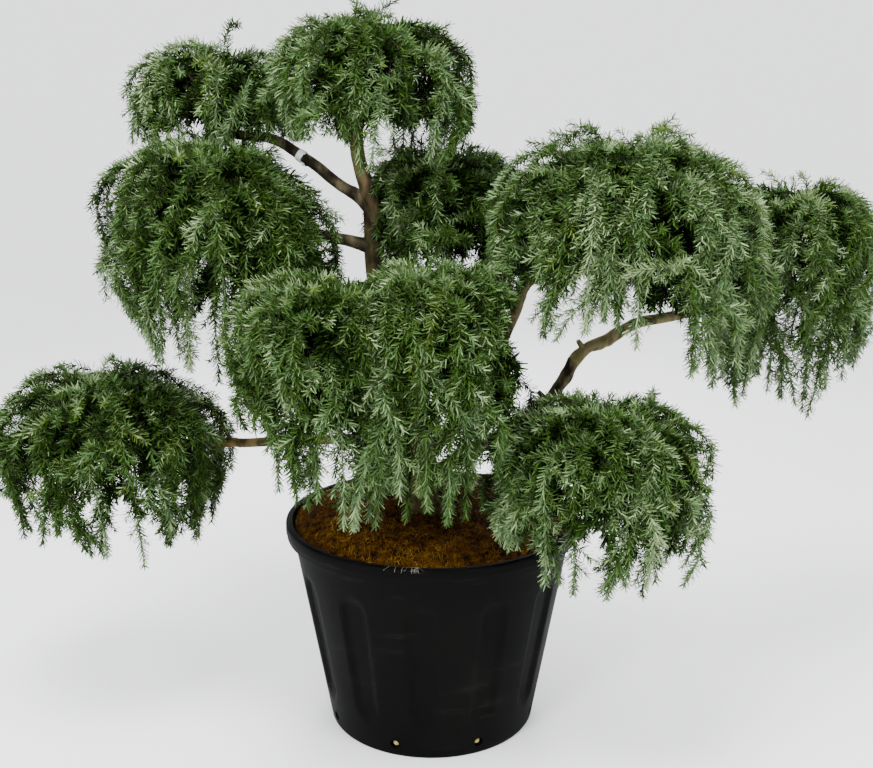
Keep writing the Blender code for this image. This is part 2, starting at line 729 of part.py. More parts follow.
def spray_shape(line, width, extra=0.0):
    """A slim three-sided twig of packed needles, with tufts that stand out and lean to its tip."""
    normals = tangents(line)
    side_ways = Vector((0.3, 1, 0.2))
    last = len(line) - 1
    rings = []
    for place in range(last):
        share = 1.0 - SPRAY_CORE_TAPER * place / last if place else SPRAY_ROOT_SHARE
        size = SPRAY_CORE * width * share + extra
        rings.append(ring_round(line[place], normals[place], size, 3, side_ways))
    points = [point for ring in rings for point in ring] + [line[-1] + normals[-1] * extra]
    faces = [(2, 1, 0)]
    for level in range(last - 1):
        for side in range(3):
            low = level * 3 + side
            low_after = level * 3 + (side + 1) % 3
            quad = (low, low_after, low_after + 3, low + 3)
            if level == 0:
                faces += [quad[:3], (quad[0], quad[2], quad[3])]
                continue
            middle = sum((points[k] for k in quad), Vector()) / 4
            out = (middle - (line[level] + line[level + 1]) / 2).normalized()
            step = line[level + 1] - line[level]
            reach = SPRAY_REACH * width * (1.0 - SPRAY_REACH_TAPER * level / last)
            reach += extra - SPRAY_CORE * width / 2
            points.append(middle + out * reach + step * SPRAY_LEAN)
            tuft = len(points) - 1
            faces += [(quad[k], quad[(k + 1) % 4], tuft) for k in range(4)]
    cone = (last - 1) * 3
    faces += [(cone + side, cone + (side + 1) % 3, last * 3) for side in range(3)]
    return points, faces


def shell_line(pad, sector, rng, kind, attempt):
    """The path of one spray: hanging past the skirt, draped over the shoulder, or up on the dome."""
    start, end = sector_limits(pad, sector)
    share, tier = kind
    share += rng.uniform(-PLACE_VARIATION, PLACE_VARIATION)
    angle = start + (end - start) * share
    drop = pad.shoulder - hem_height(pad, angle)
    shrink = 1 - DROP_LOSS * attempt
    if tier == "hanging":
        root = pad_point(pad, angle, 0, CORE_MIDDLE)
        root.z -= drop * rng.uniform(*HANGING["root_drop"])
        over = pad_point(pad, angle, 0, rng.uniform(*HANGING["arch"]))
        over.z = root.z + HANGING_LIFT
        tip = pad_point(pad, angle, 0, rng.uniform(*HANGING["tip"]))
        tip.z = pad.shoulder - drop * rng.uniform(*HANGING["drop"]) * shrink
        return bend(root, over, tip, SPRAY_STEPS, TIP_CROWDING)
    if tier == "draped":
        root = pad_point(pad, angle, rng.uniform(*DRAPED["rise"]), CORE_MIDDLE)
        over = pad_point(pad, angle, DRAPED_ARCH_RISE, rng.uniform(*DRAPED["arch"]))
        tip = pad_point(pad, angle, 0, rng.uniform(*DRAPED["tip"]))
        tip.z = pad.shoulder - drop * rng.uniform(*DRAPED["drop"]) * shrink
        return bend(root, over, tip, SPRAY_STEPS, TIP_CROWDING)
    rise = rng.uniform(*DOME["rise"])
    root = pad_point(pad, angle, rise, CORE_MIDDLE)
    tip = pad_point(pad, angle, rise - DOME_DIP, rng.uniform(*DOME["tip"]) - DOME_LOSS * attempt)
    return bend(root, (root + tip) / 2 + UP * DOME_ARCH, tip, SPRAY_STEPS)


def leader_line(pad, tip):
    """A longer shoot that stands out of the pad to a given tip."""
    tip = Vector(tip)
    away = off_centre(pad, tip)
    rise = math.atan2((tip.z - pad.shoulder) / (pad.top - pad.shoulder), away.length)
    rise = min(LEADER_RISES[1], max(LEADER_RISES[0], rise))
    root = pad_point(pad, math.atan2(away.y, away.x), rise, CORE_MIDDLE)
    return bend(root, (root + tip) / 2 + UP * LEADER_ARCH, tip, SPRAY_STEPS)


def bvh(shape):
    points, faces = shape
    return BVHTree.FromPolygons(points, faces)


def object_bvh(thing):
    points = [vertex.co for vertex in thing.data.vertices]
    faces = [tuple(face.vertices) for face in thing.data.polygons]
    return bvh((points, faces))


def touches(tree, others):
    return any(tree.overlap(other) for other in others)


class Mass:
    """One sector of a pad: its core and stem first, then the sprays that find room."""

    def __init__(self, pad, sector, line, others):
        self.pad = pad
        self.sector = sector
        self.name = f"{pad.name}_{sector + 1}"
        for tuft_share in TUFT_SHARES:
            self.rng = random.Random(f"{SEED} {self.name}")
            core = core_shape(pad, sector, self.rng, line, tuft_share)
            if not touches(bvh(core), others):
                break
        self.shapes = [core, stem_shape(pad, sector, line[-1])]
        self.trees = [bvh(shape) for shape in self.shapes]

    def add_spray(self, line, width, others):
        """Adds the spray if it keeps to its sector and clears everything else."""
        if not inside_sector(self.pad, self.sector, spray_shape(line, width)[0]):
            return False
        if touches(bvh(spray_shape(line, width, SPRAY_CLEARANCE)), others):
            return False
        shape = spray_shape(line, width)
        self.shapes.append(shape)
        self.trees.append(bvh(shape))
        return True

    def grow(self, others):
        """Leaders first, then the sprays of each kind; a leader takes the dome spray's place."""
        led = [self.add_spray(leader_line(self.pad, tip), LEADER_WIDTH, others)
               for tip in self.pad.leaders]
        for kind in SPRAY_KINDS:
            if any(led) and kind[1] == "dome":
                continue
            for attempt in range(TRIES):
                width = self.rng.uniform(*SPRAY_WIDTHS) * (1 - WIDTH_LOSS * attempt)
                line = shell_line(self.pad, self.sector, self.rng, kind, attempt)
                if self.add_spray(line, width, others):
                    break

    def build(self, paint):
        """The finished mass, its pieces joined into one body."""
        pieces = [link_mesh(self.name + "_piece", *shape) for shape in self.shapes[1:]]
        mass = link_mesh(self.name, *self.shapes[0], paint)
        boolean(mass, pieces, "UNION")
        return mass


def carrier_line(pad):
    """The line of the bough that carries a pad; the top pad sits on the trunk's tip."""
    if pad.name in BOUGHS:
        return bough_line(BOUGHS[pad.name], pad)
    return [trunk_centre(TRUNK_LINE[-1][1])]


def make_masses(fixed):
    """All masses: cores and stems of every pad come before any spray looks for room."""
    masses = []
    for pad in PADS:
        line = carrier_line(pad)
        others = fixed + [tree for other in masses for tree in other.trees]
        masses += [Mass(pad, sector, line, others) for sector in range(pad.sectors)]
    for mass in masses:
        neighbours = [other for other in masses if other.pad is not mass.pad]
        mass.grow(fixed + [tree for other in neighbours for tree in other.trees])
    for place, pad in enumerate(PADS):
        paint = material(pad.name + "_needles", FOLIAGE_COLOURS[place % len(FOLIAGE_COLOURS)], 0.75)
        for mass in masses:
            if mass.pad is pad:
                mass.build(paint)


def main():
    clear_scene()
    bark = material("bark", BARK_COLOUR, 0.9)
    pot = make_pot(material("black_pot_plastic", POT_COLOUR, 0.45))
    soil = make_soil(material("fibre_topped_soil", SOIL_COLOUR, 0.95))
    limbs = [make_trunk(bark)]
    for pad in PADS:
        if pad.name in BOUGHS:
            limbs.append(make_bough(BOUGHS[pad.name], pad, bark))
    make_masses([object_bvh(thing) for thing in (pot, soil, *limbs)])


main()
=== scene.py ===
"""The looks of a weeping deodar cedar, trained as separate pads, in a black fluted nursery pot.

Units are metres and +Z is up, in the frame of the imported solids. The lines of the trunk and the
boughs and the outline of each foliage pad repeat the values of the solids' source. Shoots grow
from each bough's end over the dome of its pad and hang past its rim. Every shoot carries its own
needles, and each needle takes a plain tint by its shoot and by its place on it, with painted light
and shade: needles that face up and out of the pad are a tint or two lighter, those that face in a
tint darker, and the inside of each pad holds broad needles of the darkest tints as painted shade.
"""

import math
from collections import namedtuple

import bmesh
import bpy
import numpy as np
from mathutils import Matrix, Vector, noise


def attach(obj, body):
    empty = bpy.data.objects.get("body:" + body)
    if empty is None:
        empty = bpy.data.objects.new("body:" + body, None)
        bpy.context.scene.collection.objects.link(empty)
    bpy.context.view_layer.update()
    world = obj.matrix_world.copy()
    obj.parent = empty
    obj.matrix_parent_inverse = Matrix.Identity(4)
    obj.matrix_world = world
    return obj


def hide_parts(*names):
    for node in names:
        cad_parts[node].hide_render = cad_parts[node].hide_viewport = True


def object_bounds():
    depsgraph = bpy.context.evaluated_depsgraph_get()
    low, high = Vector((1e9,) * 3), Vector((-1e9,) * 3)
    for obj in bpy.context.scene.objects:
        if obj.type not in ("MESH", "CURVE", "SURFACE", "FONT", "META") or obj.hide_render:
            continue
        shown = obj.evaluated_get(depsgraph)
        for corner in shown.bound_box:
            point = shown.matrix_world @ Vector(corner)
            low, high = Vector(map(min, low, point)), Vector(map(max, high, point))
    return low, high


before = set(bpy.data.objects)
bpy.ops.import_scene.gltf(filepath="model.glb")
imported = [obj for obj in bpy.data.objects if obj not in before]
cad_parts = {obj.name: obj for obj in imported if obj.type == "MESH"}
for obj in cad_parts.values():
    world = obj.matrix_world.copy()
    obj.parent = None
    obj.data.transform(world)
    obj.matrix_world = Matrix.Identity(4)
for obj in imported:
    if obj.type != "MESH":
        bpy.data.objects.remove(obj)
cad_low, cad_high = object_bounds()

SEED = 41
noise.seed_set(SEED)
UP = np.array((0.0, 0.0, 1.0))
GOLDEN_ANGLE = math.pi * (3 - math.sqrt(5))

# Camera: where the photograph was taken from
CAMERA_PLACE = (0.011, -2.51, 1.39)
CAMERA_PITCH = math.radians(-13.4)
CAMERA_LENS = 47.42
SENSOR_WIDTH = 36.0
PICTURE_WIDTH = 873
PICTURE_HEIGHT = 768

# Places in the camera's picture where sky or a bare limb shows between the pads, as corners in pixels
OPEN_PLACES = {
    "round the upper left bough": (
     (281, 138), (300, 141), (333, 137), (352, 144), (366, 188), (364, 238), (354, 238), (345, 222),
     (326, 197), (306, 180), (283, 163)),
    "over the mid left bough": ((338, 238), (366, 240), (372, 284), (348, 284), (338, 258)),
    "on the right bough": ((502, 342), (508, 316), (523, 284), (539, 282), (532, 310), (520, 346)),
    "round the far right bough": (
     (512, 352), (534, 336), (560, 344), (582, 338), (606, 322), (620, 332), (634, 344), (642, 360),
     (645, 396), (566, 390), (548, 398), (536, 400), (526, 376)),
}

# Pot, as the solids have it
POT_HEIGHT = 0.484
POT_BASE_RADIUS = 0.237
POT_TOP_RADIUS = 0.323
LIP_RADIUS = 0.334
LIP_HEIGHT = 0.036
LIP_WIDTH = 0.015
WALL_THICKNESS = 0.005
FLOOR_THICKNESS = 0.012
FOOT_CHAMFER = 0.004
FLUTES = 12
FLUTE_DEPTH = 0.009
FLUTE_HALF_ANGLE = math.radians(7.0)
FLUTE_TURN = math.radians(-94.0)
FLUTE_BOTTOM = 0.085
FLUTE_TOP = 0.385
FLUTE_EDGE = 0.013
DRAIN_HOLES = 8
DRAIN_RADIUS = 0.010
DRAIN_HEIGHT = 0.030
DRAIN_TURN = math.radians(-87.0)
DRAIN_CUT_DEPTH = 0.034
SIDES_PER_FLUTE = 22
WALL_RINGS = 46
WALL_ROOM = 0.012
# The lip's outline: how far in from its radius and up from its foot, then down from the pot's height
LIP_OUTSIDE = (
    (0.0055, 0), (0.0028, 0.0012), (0.0020, 0.0040), (0.0016, 0.0105), (0.0006, 0.0125), (0, 0.0150))
LIP_EDGE = ((0, 0.0060), (0.0010, 0.0024), (0.0034, 0.0006), (0.0060, 0))
# The same for its inner edge: how far out from its inside, and down
LIP_INNER_EDGE = ((0.003, 0), (0.0008, 0.0008), (0, 0.003))

# Soil, as the solids have it
SOIL_EDGE_HEIGHT = 0.470
GROUND = 0.498
GROUND_FLAT_RADIUS = 0.090
GROUND_SHOULDER_SHARE = 0.70
SOIL_STEEPNESS = 1.6
SOIL_HEAP = 0.018
SOIL_HEAP_LEAN = 0.8
SOIL_GAP = 0.0006
SOIL_SIDES = 168
SOIL_RINGS = 64

# Loose fibres on the soil, and those that hang over the lip
FIBRES = {
    "fibre_dark": (0.014, 0.0052, 0.0008),
    "fibre_rust": (0.062, 0.0225, 0.0016),
    "fibre_gold": (0.125, 0.0600, 0.0036),
    "fibre_straw": (0.230, 0.1300, 0.0200),
}
FIBRE_SCORES = (-0.14, 0.30, 0.98)
FIBRE_COUNT = 12000
FIBRE_POINTS = 4
FIBRE_LENGTHS = (0.007, 0.021)
FIBRE_HALF_WIDTHS = (0.0003, 0.00065)
FIBRE_CURL = 55
LIP_FIBRE_COUNT = 15
LIP_FIBRE_TURN = math.radians(-99)
LIP_FIBRE_HALF_WIDTH = 0.00022

# Trunk and boughs, as the solids have them
TRUNK_LINE = (
    (-0.004, GROUND),
    (-0.022, 0.600),
    (-0.060, 0.755),
    (-0.100, 0.930),
    (-0.123, 1.060),
    (-0.130, 1.190),
    (-0.159, 1.307),
    (-0.152, 1.430),
)
TRUNK_FOOT_RADIUS = 0.041
TRUNK_TIP_RADIUS = 0.0115
FLARE_HEIGHT = 0.070
FLARE_RADIUS = 0.018
FLARE_LOBES = 5
FLARE_LOBE_DEPTH = 0.35
BOUGH_TIP_RADIUS = 0.0105
COLLAR_GAIN = 0.28
COLLAR_LENGTH = 0.030
TURN_UP_RISE = 0.046
TURN_UP_RUN = 0.020
STUB_RADIUS = 0.0065
STEM_CIRCLE = 0.0073
STEM_GOAL_RISE = math.radians(50)
STEM_UPRIGHT = 0.6
CORE_MIDDLE = 0.65

# Bark: its relief, the rings of the limbs, and the spacing and size of the scars of twigs
RIDGE_DEPTH = 0.0016
FISSURE_DEPTH = 0.0016
SCALE_DEPTH = 0.0006
THIN_LIMB_RELIEF = 0.35
FULL_RELIEF_RADIUS = 0.03
SCAR_RISE = 0.42
SCAR_DIP = 0.30
TRUNK_SCARS = (0.055, 0.0095)
TRUNK_SUNK = 0.006
TRUNK_RINGS = 190
TRUNK_SIDES = 40
BOUGH_SCARS = (0.045, 0.0065)
BOUGH_SPACING = 0.0065
BOUGH_SIDES = 24
STRAIGHT_END = 0.08
STUB_RINGS = 12
# Colour stops along a noise
BARKS = {
    # The trunk's colour under the pads, darker and greener than above: partly moss and partly painted shade
    "moss_and_shade": ((0.38, (0.007, 0.005, 0.002)), (0.47, (0.022, 0.018, 0.006)),
              (0.56, (0.050, 0.043, 0.014)), (0.66, (0.075, 0.074, 0.020))),
    "dark": ((0.38, (0.009, 0.007, 0.003)), (0.47, (0.030, 0.024, 0.012)),
             (0.56, (0.070, 0.058, 0.030)), (0.66, (0.125, 0.110, 0.062))),
    "warm": ((0.37, (0.012, 0.008, 0.004)), (0.46, (0.052, 0.035, 0.015)),
             (0.56, (0.100, 0.072, 0.034)), (0.66, (0.085, 0.074, 0.030))),
    "buff": ((0.39, (0.012, 0.009, 0.004)), (0.45, (0.075, 0.060, 0.024)),
             (0.56, (0.185, 0.155, 0.075)), (0.66, (0.120, 0.115, 0.038))),
    "young": ((0.38, (0.026, 0.017, 0.005)), (0.50, (0.085, 0.060, 0.018)), (0.64, (0.150, 0.112, 0.042))),
}

Bough = namedtuple("Bough", "name height radius bends")
Pad = namedtuple("Pad", "name centre radii top shoulder hub hems sectors turn leaders")
# How much of a pad's foliage is yellow-green, blue-green, pale and dark, each from 0 to 1, how dense it is,
# how far its dome slopes down to the right, how far its skirt draws in at the hem, and how far down to the
# hem its shaded inner shoots reach
Look = namedtuple("Look", "lime cool pale dark fullness lean pull_in inner_hem")

BOUGHS = {
    "crown_upper_left": Bough("bough_upper_left", 1.180, 0.0125, (
        (-0.160, 0.008, 1.208), (-0.220, 0.015, 1.247), (-0.332, 0.050, 1.323))),
    "crown_mid_left": Bough("bough_mid_left", 1.098, 0.0125, (
        (-0.190, -0.010, 1.117), (-0.262, -0.020, 1.128), (-0.350, -0.026, 1.138))),
    "crown_centre": Bough("bough_centre", 1.045, 0.0110, (
        (-0.065, 0.035, 1.080),)),
    "crown_front_left": Bough("bough_front_left", 0.715, 0.0140, (
        (-0.100, -0.080, 0.770), (-0.170, -0.170, 0.830))),
    "crown_front_right": Bough("bough_front_right", 0.800, 0.0130, (
        (-0.040, -0.090, 0.835), (0.005, -0.180, 0.860))),
    "crown_right": Bough("bough_right", 0.620, 0.0165, (
        (0.030, -0.012, 0.675), (0.086, -0.020, 0.749), (0.179, -0.025, 0.952),
        (0.215, -0.030, 1.030), (0.300, -0.065, 1.075))),
    "crown_far_right": Bough("bough_far_right", 0.565, 0.0150, (
        (0.110, 0.040, 0.632), (0.249, 0.050, 0.714), (0.287, 0.050, 0.766), (0.344, 0.052, 0.860),
        (0.393, 0.060, 0.878), (0.471, 0.080, 0.917), (0.620, 0.125, 0.938), (0.767, 0.150, 0.958))),
    "crown_lower_right": Bough("bough_lower_right", 0.560, 0.0130, (
        (0.080, -0.070, 0.590), (0.190, -0.150, 0.612))),
    "crown_lower_left": Bough("bough_lower_left", 0.668, 0.0105, (
        (-0.160, -0.004, 0.664), (-0.299, 0.000, 0.661), (-0.412, -0.002, 0.657),
        (-0.508, -0.005, 0.656), (-0.640, -0.014, 0.656))),
    "crown_back": Bough("bough_back", 0.655, 0.0125, (
        (-0.070, 0.090, 0.690), (-0.085, 0.170, 0.735))),
}

# Two short stubs of cut side twigs on the kinked far right bough: place, direction, length
STUBS = (
    ((0.268, 0.050, 0.738), (-0.70, 0.10, 0.70), 0.034),
    ((0.345, 0.052, 0.862), (-0.55, -0.30, 0.80), 0.026),
)
# Swollen knobs on that bough: share of the way along it, angle round it in radians, size
KNOBS = ((0.30, 0.4, 0.015), (0.385, 5.0, 0.015), (0.43, 1.9, 0.017), (0.50, 4.6, 0.020), (0.535, 1.2, 0.016))
GNARL = 0.0035
KINK_SHARE = 0.22
TIE_PLACE = (-0.283, 0.030, 1.290)
TIE_HALF_LENGTH = 0.008
TIE_THICKNESS = 0.0016
TIE_GAP = 0.0008
TIE_END_LENGTH = 0.017
TIE_END_RADII = (0.0032, 0.0010)
CUT_BY_TIE = ((-0.268, 0.026, 1.282), (-0.45, -0.75, 0.45), 0.018)

# Lowest tips are given at the left, front, right and back of each pad
PADS = (
    Pad("crown_top", (-0.130, 0.000), (0.205, 0.190), 1.578, 1.462, None,
        (1.317, 1.258, 1.296, 1.290), 4, 175, ((-0.158, -0.022, 1.607), (0.044, 0.030, 1.568))),
    Pad("crown_upper_left", (-0.483, 0.140), (0.163, 0.150), 1.508, 1.432, 1.390,
        (1.300, 1.270, 1.300, 1.290), 3, -75, ((-0.445, 0.140, 1.555), (-0.690, 0.120, 1.376))),
    Pad("crown_mid_left", (-0.439, -0.030), (0.258, 0.215), 1.330, 1.190, 1.165,
        (0.925, 0.802, 1.005, 0.900), 4, 135, ((-0.480, -0.030, 1.340),)),
    Pad("crown_centre", (0.022, 0.098), (0.168, 0.150), 1.290, 1.206, 1.160,
        (1.068, 1.012, 1.033, 1.050), 3, 75, ()),
    Pad("crown_front_left", (-0.240, -0.280), (0.168, 0.160), 1.056, 0.965, 0.915,
        (0.790, 0.580, 0.610, 0.760), 3, 30, ()),
    Pad("crown_front_right", (0.042, -0.280), (0.158, 0.160), 1.090, 0.975, 0.925,
        (0.604, 0.605, 0.735, 0.770), 3, 90, ()),
    Pad("crown_right", (0.417, -0.100), (0.303, 0.215), 1.348, 1.165, 1.125,
        (0.930, 0.860, 0.760, 0.950), 5, -20, ((0.455, -0.090, 1.360), (0.172, -0.120, 1.257))),
    Pad("crown_far_right", (0.847, 0.160), (0.170, 0.160), 1.212, 1.109, 1.060,
        (0.715, 0.702, 0.800, 0.760), 3, 65,
        ((0.810, 0.182, 1.243), (0.890, 0.138, 1.235), (1.005, 0.140, 1.179))),
    Pad("crown_lower_right", (0.345, -0.265), (0.218, 0.185), 0.810, 0.700, 0.668,
        (0.560, 0.412, 0.470, 0.560), 3, -45, ((0.456, -0.240, 0.820), (0.566, -0.220, 0.716))),
    Pad("crown_lower_left", (-0.717, -0.020), (0.246, 0.190), 0.806, 0.700, 0.704,
        (0.520, 0.400, 0.440, 0.450), 4, 160, ((-0.780, -0.050, 0.833), (-0.575, 0.030, 0.768))),
    Pad("crown_back", (-0.110, 0.285), (0.200, 0.160), 0.930, 0.850, 0.800,
        (0.640, 0.680, 0.640, 0.600), 3, 30, ()),
)
LOOKS = {
    "crown_top": Look(0.10, 0.35, 0.25, 0.42, 1.20, 0.0, 0.12, 0.62),
    "crown_upper_left": Look(0.20, 0.25, 0.18, 0.45, 1.35, 0.3, 0.10, 0.62),
    "crown_mid_left": Look(0.30, 0.20, 0.16, 1.00, 1.15, 1.0, 0.26, 0.62),
    "crown_centre": Look(0.20, 0.30, 0.14, 0.85, 1.65, 0.1, 0.05, 0.62),
    "crown_front_left": Look(0.30, 0.40, 0.50, 0.48, 1.55, 0.0, 0.14, 0.86),
    "crown_front_right": Look(0.35, 0.45, 0.55, 0.48, 1.45, 0.1, 0.14, 0.90),
    "crown_right": Look(0.30, 0.45, 0.65, 0.30, 1.15, 0.1, 0.02, 0.62),
    "crown_far_right": Look(0.30, 0.40, 0.45, 0.28, 1.10, 0.0, 0.06, 0.62),
    "crown_lower_right": Look(0.20, 0.60, 0.45, 0.42, 1.60, 0.0, 0.04, 0.74),
    "crown_lower_left": Look(0.45, 0.15, 0.08, 1.20, 1.25, 0.0, 0.10, 0.62),
    "crown_back": Look(0.20, 0.30, 0.30, 0.45, 0.80, 0.0, 0.10, 0.62),
}

# Centres, radii and hems of the foliage of the pads whose needles hide the limbs behind them
DRAWN = {
    "crown_centre": ((0.022, 0.098), (0.168, 0.150), (1.030, 0.950, 0.960, 1.020)),
    "crown_front_left": ((-0.203, -0.280), (0.172, 0.160), (0.760, 0.580, 0.590, 0.700)),
    "crown_front_right": ((0.012, -0.280), (0.172, 0.160), (0.604, 0.595, 0.620, 0.700)),
    "crown_lower_right": ((0.340, -0.265), (0.200, 0.180), (0.540, 0.412, 0.460, 0.500)),
}

# Needle tints, from the painted shade of the pads' inside to the palest tips; the palest is a painted
# highlight, given only to needles that face up and out
TINTS = {
    "shade": (0.003, 0.008, 0.001),
    "deep": (0.010, 0.027, 0.002),
    "mid": (0.028, 0.066, 0.006),
    "blue": (0.056, 0.108, 0.034),
    "lime": (0.062, 0.110, 0.010),
    "pale": (0.125, 0.190, 0.070),
    "painted_highlight": (0.240, 0.320, 0.160),
}
# How much each tint shines
SHINES = {"shade": 0.03, "deep": 0.08, "mid": 0.15, "blue": 0.25, "lime": 0.25, "pale": 0.35, "painted_highlight": 0.4}
TINT_NAMES = list(TINTS)
# The next lighter and the next darker tint of each, in the same order, for the painted light and shade on
# each needle by how it faces
LIGHTER_NAMES = ("deep", "mid", "blue", "pale", "pale", "painted_highlight", "painted_highlight")
DARKER_NAMES = ("shade", "shade", "deep", "mid", "mid", "blue", "pale")
LIGHTER = np.array([TINT_NAMES.index(name) for name in LIGHTER_NAMES])
DARKER = np.array([TINT_NAMES.index(name) for name in DARKER_NAMES])

# Shoots that start inside the dome: how many per area, where they start and to which layer of the shell they
# keep, both as shares of the pad's size, and how long they are from the dome and from the skirt
Kind = namedtuple("Kind", "per_area starts targets lengths skirt_lengths")
MAIN_SHOOTS = Kind(104, (0.52, 0.68), (0.72, 0.93), (0.36, 0.95), (0.30, 0.80))
# The inner shoots carry broad needles in the two darkest tints, as painted shade inside the pads
INNER_SHOOTS = Kind(205, (0.08, 0.55), (0.50, 0.72), (0.10, 0.22), (0.10, 0.22))

# How all shoots start, weep and keep to the shell of their pad
STEP = 0.008
LEAST_STEPS = 3
LEAST_MAIN_STEPS = 6
OUTWARD_PUSH = 0.85
SHOOT_FALLS = (-0.25, 0.35)
LUMP_SIZE = 0.018
WILD_SHARE = 0.12
WILD_GAIN = 0.09
SKIRT_SHARE = 0.46
SKIRT_START_DEPTH = 0.45
KICKED_SHARE = 0.35
TIP_KICKS = (0.06, 0.16)
TOP_START_GAIN = 0.16
TOP_SHOOTS_PER_AREA = 360
TOP_START_SHARES = (0.58, 0.80)
TOP_TARGET_SHARES = (0.80, 0.95)
TOP_SPREAD = 0.45
TOP_LENGTHS = (0.06, 0.15)
TOP_WEEP = 3.0
TOP_LEAST_RISE = 0.25
CAP_SHOOTS_PER_AREA = 170
CAP_REACH = 0.42
CAP_LENGTHS = (0.07, 0.15)
CAP_TARGET_SHARES = (0.60, 0.84)
CAP_DEEP_SHARE = 0.5
BOX_ROOM = 0.012
MAIN_WEEP = 7.0
SIDE_WEEP = 7.0
SHELL_SPRING = 320.0
SIDE_SPRING = 140.0
TOP_SPRING = 200.0
SHELL_DAMPING = 17.0
WANDER = 0.022
FAN_SPREAD = 0.24
HEM_LEAST = 0.78
LIMB_ROOM = 0.006
POT_ROOM = 0.010
SOIL_ROOM = 0.012
HUB_ROOM = 0.10
POINTS_AT_ONCE = 4000
LEADER_ARCH = 0.012
SIDE_SPACING = 0.026
SIDE_JITTER = 0.006
SIDE_RISES = (-0.15, 0.40)
SIDE_ANGLE = math.radians(42)
SIDE_LENGTHS = (0.034, 0.072)
BARE_ROOT = 0.012
BARE_TIP = 0.055
SAME_TINT_SHARE = 0.35
INNER_DEEP_SHARE = 0.3
# Rings along each kind of twig, and its radii at the root and at the tip
TWIGS = {
    "stem": (8, 0.0050, 0.0022),
    "feeder": (5, 0.0019, 0.0013),
    "main": (8, 0.0012, 0.0005),
    "side": (2, 0.0008, 0.0004),
    "top": (3, 0.0009, 0.0005),
    "cap": (3, 0.0009, 0.0005),
    "leader": (5, 0.0012, 0.0006),
}

# Needles
NEEDLES_PER_METRE = 660
MAIN_NEEDLES_PER_METRE = 950
INNER_NEEDLES_PER_METRE = 560
NEEDLE_LENGTH = 0.0195
NEEDLE_ROOT_WIDTH = 0.0031
NEEDLE_TIP_WIDTH = 0.0013
NEEDLE_TWIST = math.radians(42)
NEEDLE_ROLL = 0.6
NEEDLE_LENGTH_RANGE = (0.78, 1.12)
NEEDLE_WIDTH_RANGE = (0.85, 1.15)
SHORT_NEEDLES_AT_TIP = 0.030
SHORT_NEEDLES_AT_ROOT = 0.15
TWIG_SKIN = 0.0006
LEADER_NEEDLE_SCALE = 0.9
INNER_NEEDLE_SCALE = 1.25
INNER_NEEDLE_BREADTH = 1.5
ROOT_ANGLE = math.radians(68)
TIP_ANGLE = math.radians(44)
# Painted light and shade: how far up and out a needle has to face for the next lighter tint, and for the one
# after it, and how far in for the next darker
PAINTED_LIGHT_FACING = 0.55
PAINTED_HIGHLIGHT_FACING = 1.05
PAINTED_SHADE_FACING = -0.50

# The studio
STAGE_RADIUS = 5.0
STAGE_SWEEP = 2.5
STAGE_HEIGHT = 6.0
STAGE_SIDES = 96


# Meshes and materials

def placed(name, data):
    """A new object in the scene."""
    thing = bpy.data.objects.new(name, data)
    bpy.context.scene.collection.objects.link(thing)
    return thing


def piece_from(name, points, face_groups, paints, smooth=True, group_paint=None):
    """A new object from an array of points and arrays of faces, each of one number of corners."""
    mesh = bpy.data.meshes.new(name)
    mesh.vertices.add(len(points))
    mesh.vertices.foreach_set("co", np.asarray(points, np.float32).ravel())
    corners = np.concatenate([np.asarray(group, np.int32).ravel() for group in face_groups])
    sizes = np.concatenate([np.full(len(group), group.shape[1], np.int32) for group in face_groups])
    mesh.loops.add(len(corners))
    mesh.loops.foreach_set("vertex_index", corners)
    mesh.polygons.add(len(sizes))
    mesh.polygons.foreach_set("loop_start", np.concatenate([[0], np.cumsum(sizes)[:-1]]).astype(np.int32))
    mesh.polygons.foreach_set("use_smooth", np.full(len(sizes), smooth))
    if group_paint is not None:
        slots = [np.full(len(group), slot, np.int32) for group, slot in zip(face_groups, group_paint)]
        mesh.polygons.foreach_set("material_index", np.concatenate(slots))
    mesh.update(calc_edges=True)
    for paint in paints:
        mesh.materials.append(paint)
    return placed(name, mesh)


def dress(thing, slot, *nodes):
    """Makes a piece ride on the plant and hides the nodes it stands for; the slot, its finish, is not used.
    """
    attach(thing, "root")
    if nodes:
        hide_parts(*nodes)


def new_material(name, roughness, shine):
    """A new material, its node tree and its shader."""
    paint = bpy.data.materials.new(name)
    paint.use_nodes = True
    shader = paint.node_tree.nodes["Principled BSDF"]
    shader.inputs["Roughness"].default_value = roughness
    shader.inputs["Specular IOR Level"].default_value = shine
    return paint, paint.node_tree, shader


def plain_material(name, colour, roughness, shine=0.35):
    paint, _, shader = new_material(name, roughness, shine)
    shader.inputs["Base Color"].default_value = (*colour, 1)
    return paint


def noise_node(tree, scale, detail, stretch=None):
    """A noise on object coordinates, which a stretch makes longer or shorter along Z."""
    place = tree.nodes.new("ShaderNodeTexCoord").outputs["Object"]
    if stretch:
        mapping = tree.nodes.new("ShaderNodeMapping")
        mapping.inputs["Scale"].default_value = (1, 1, stretch)
        tree.links.new(place, mapping.inputs["Vector"])
        place = mapping.outputs["Vector"]
    texture = tree.nodes.new("ShaderNodeTexNoise")
    texture.inputs["Scale"].default_value = scale
    texture.inputs["Detail"].default_value = detail
    tree.links.new(place, texture.inputs["Vector"])
    return texture.outputs["Fac"]


def ramp_node(tree, source, stops):
    """A colour ramp driven by a noise: each stop is a place and a colour."""
    ramp = tree.nodes.new("ShaderNodeValToRGB")
    elements = ramp.color_ramp.elements
    while len(elements) < len(stops):
        elements.new(0.5)
    for element, (place, colour) in zip(elements, stops):
        element.position = place
        element.color = (*colour, 1)
    tree.links.new(source, ramp.inputs["Fac"])
    return ramp.outputs["Color"]


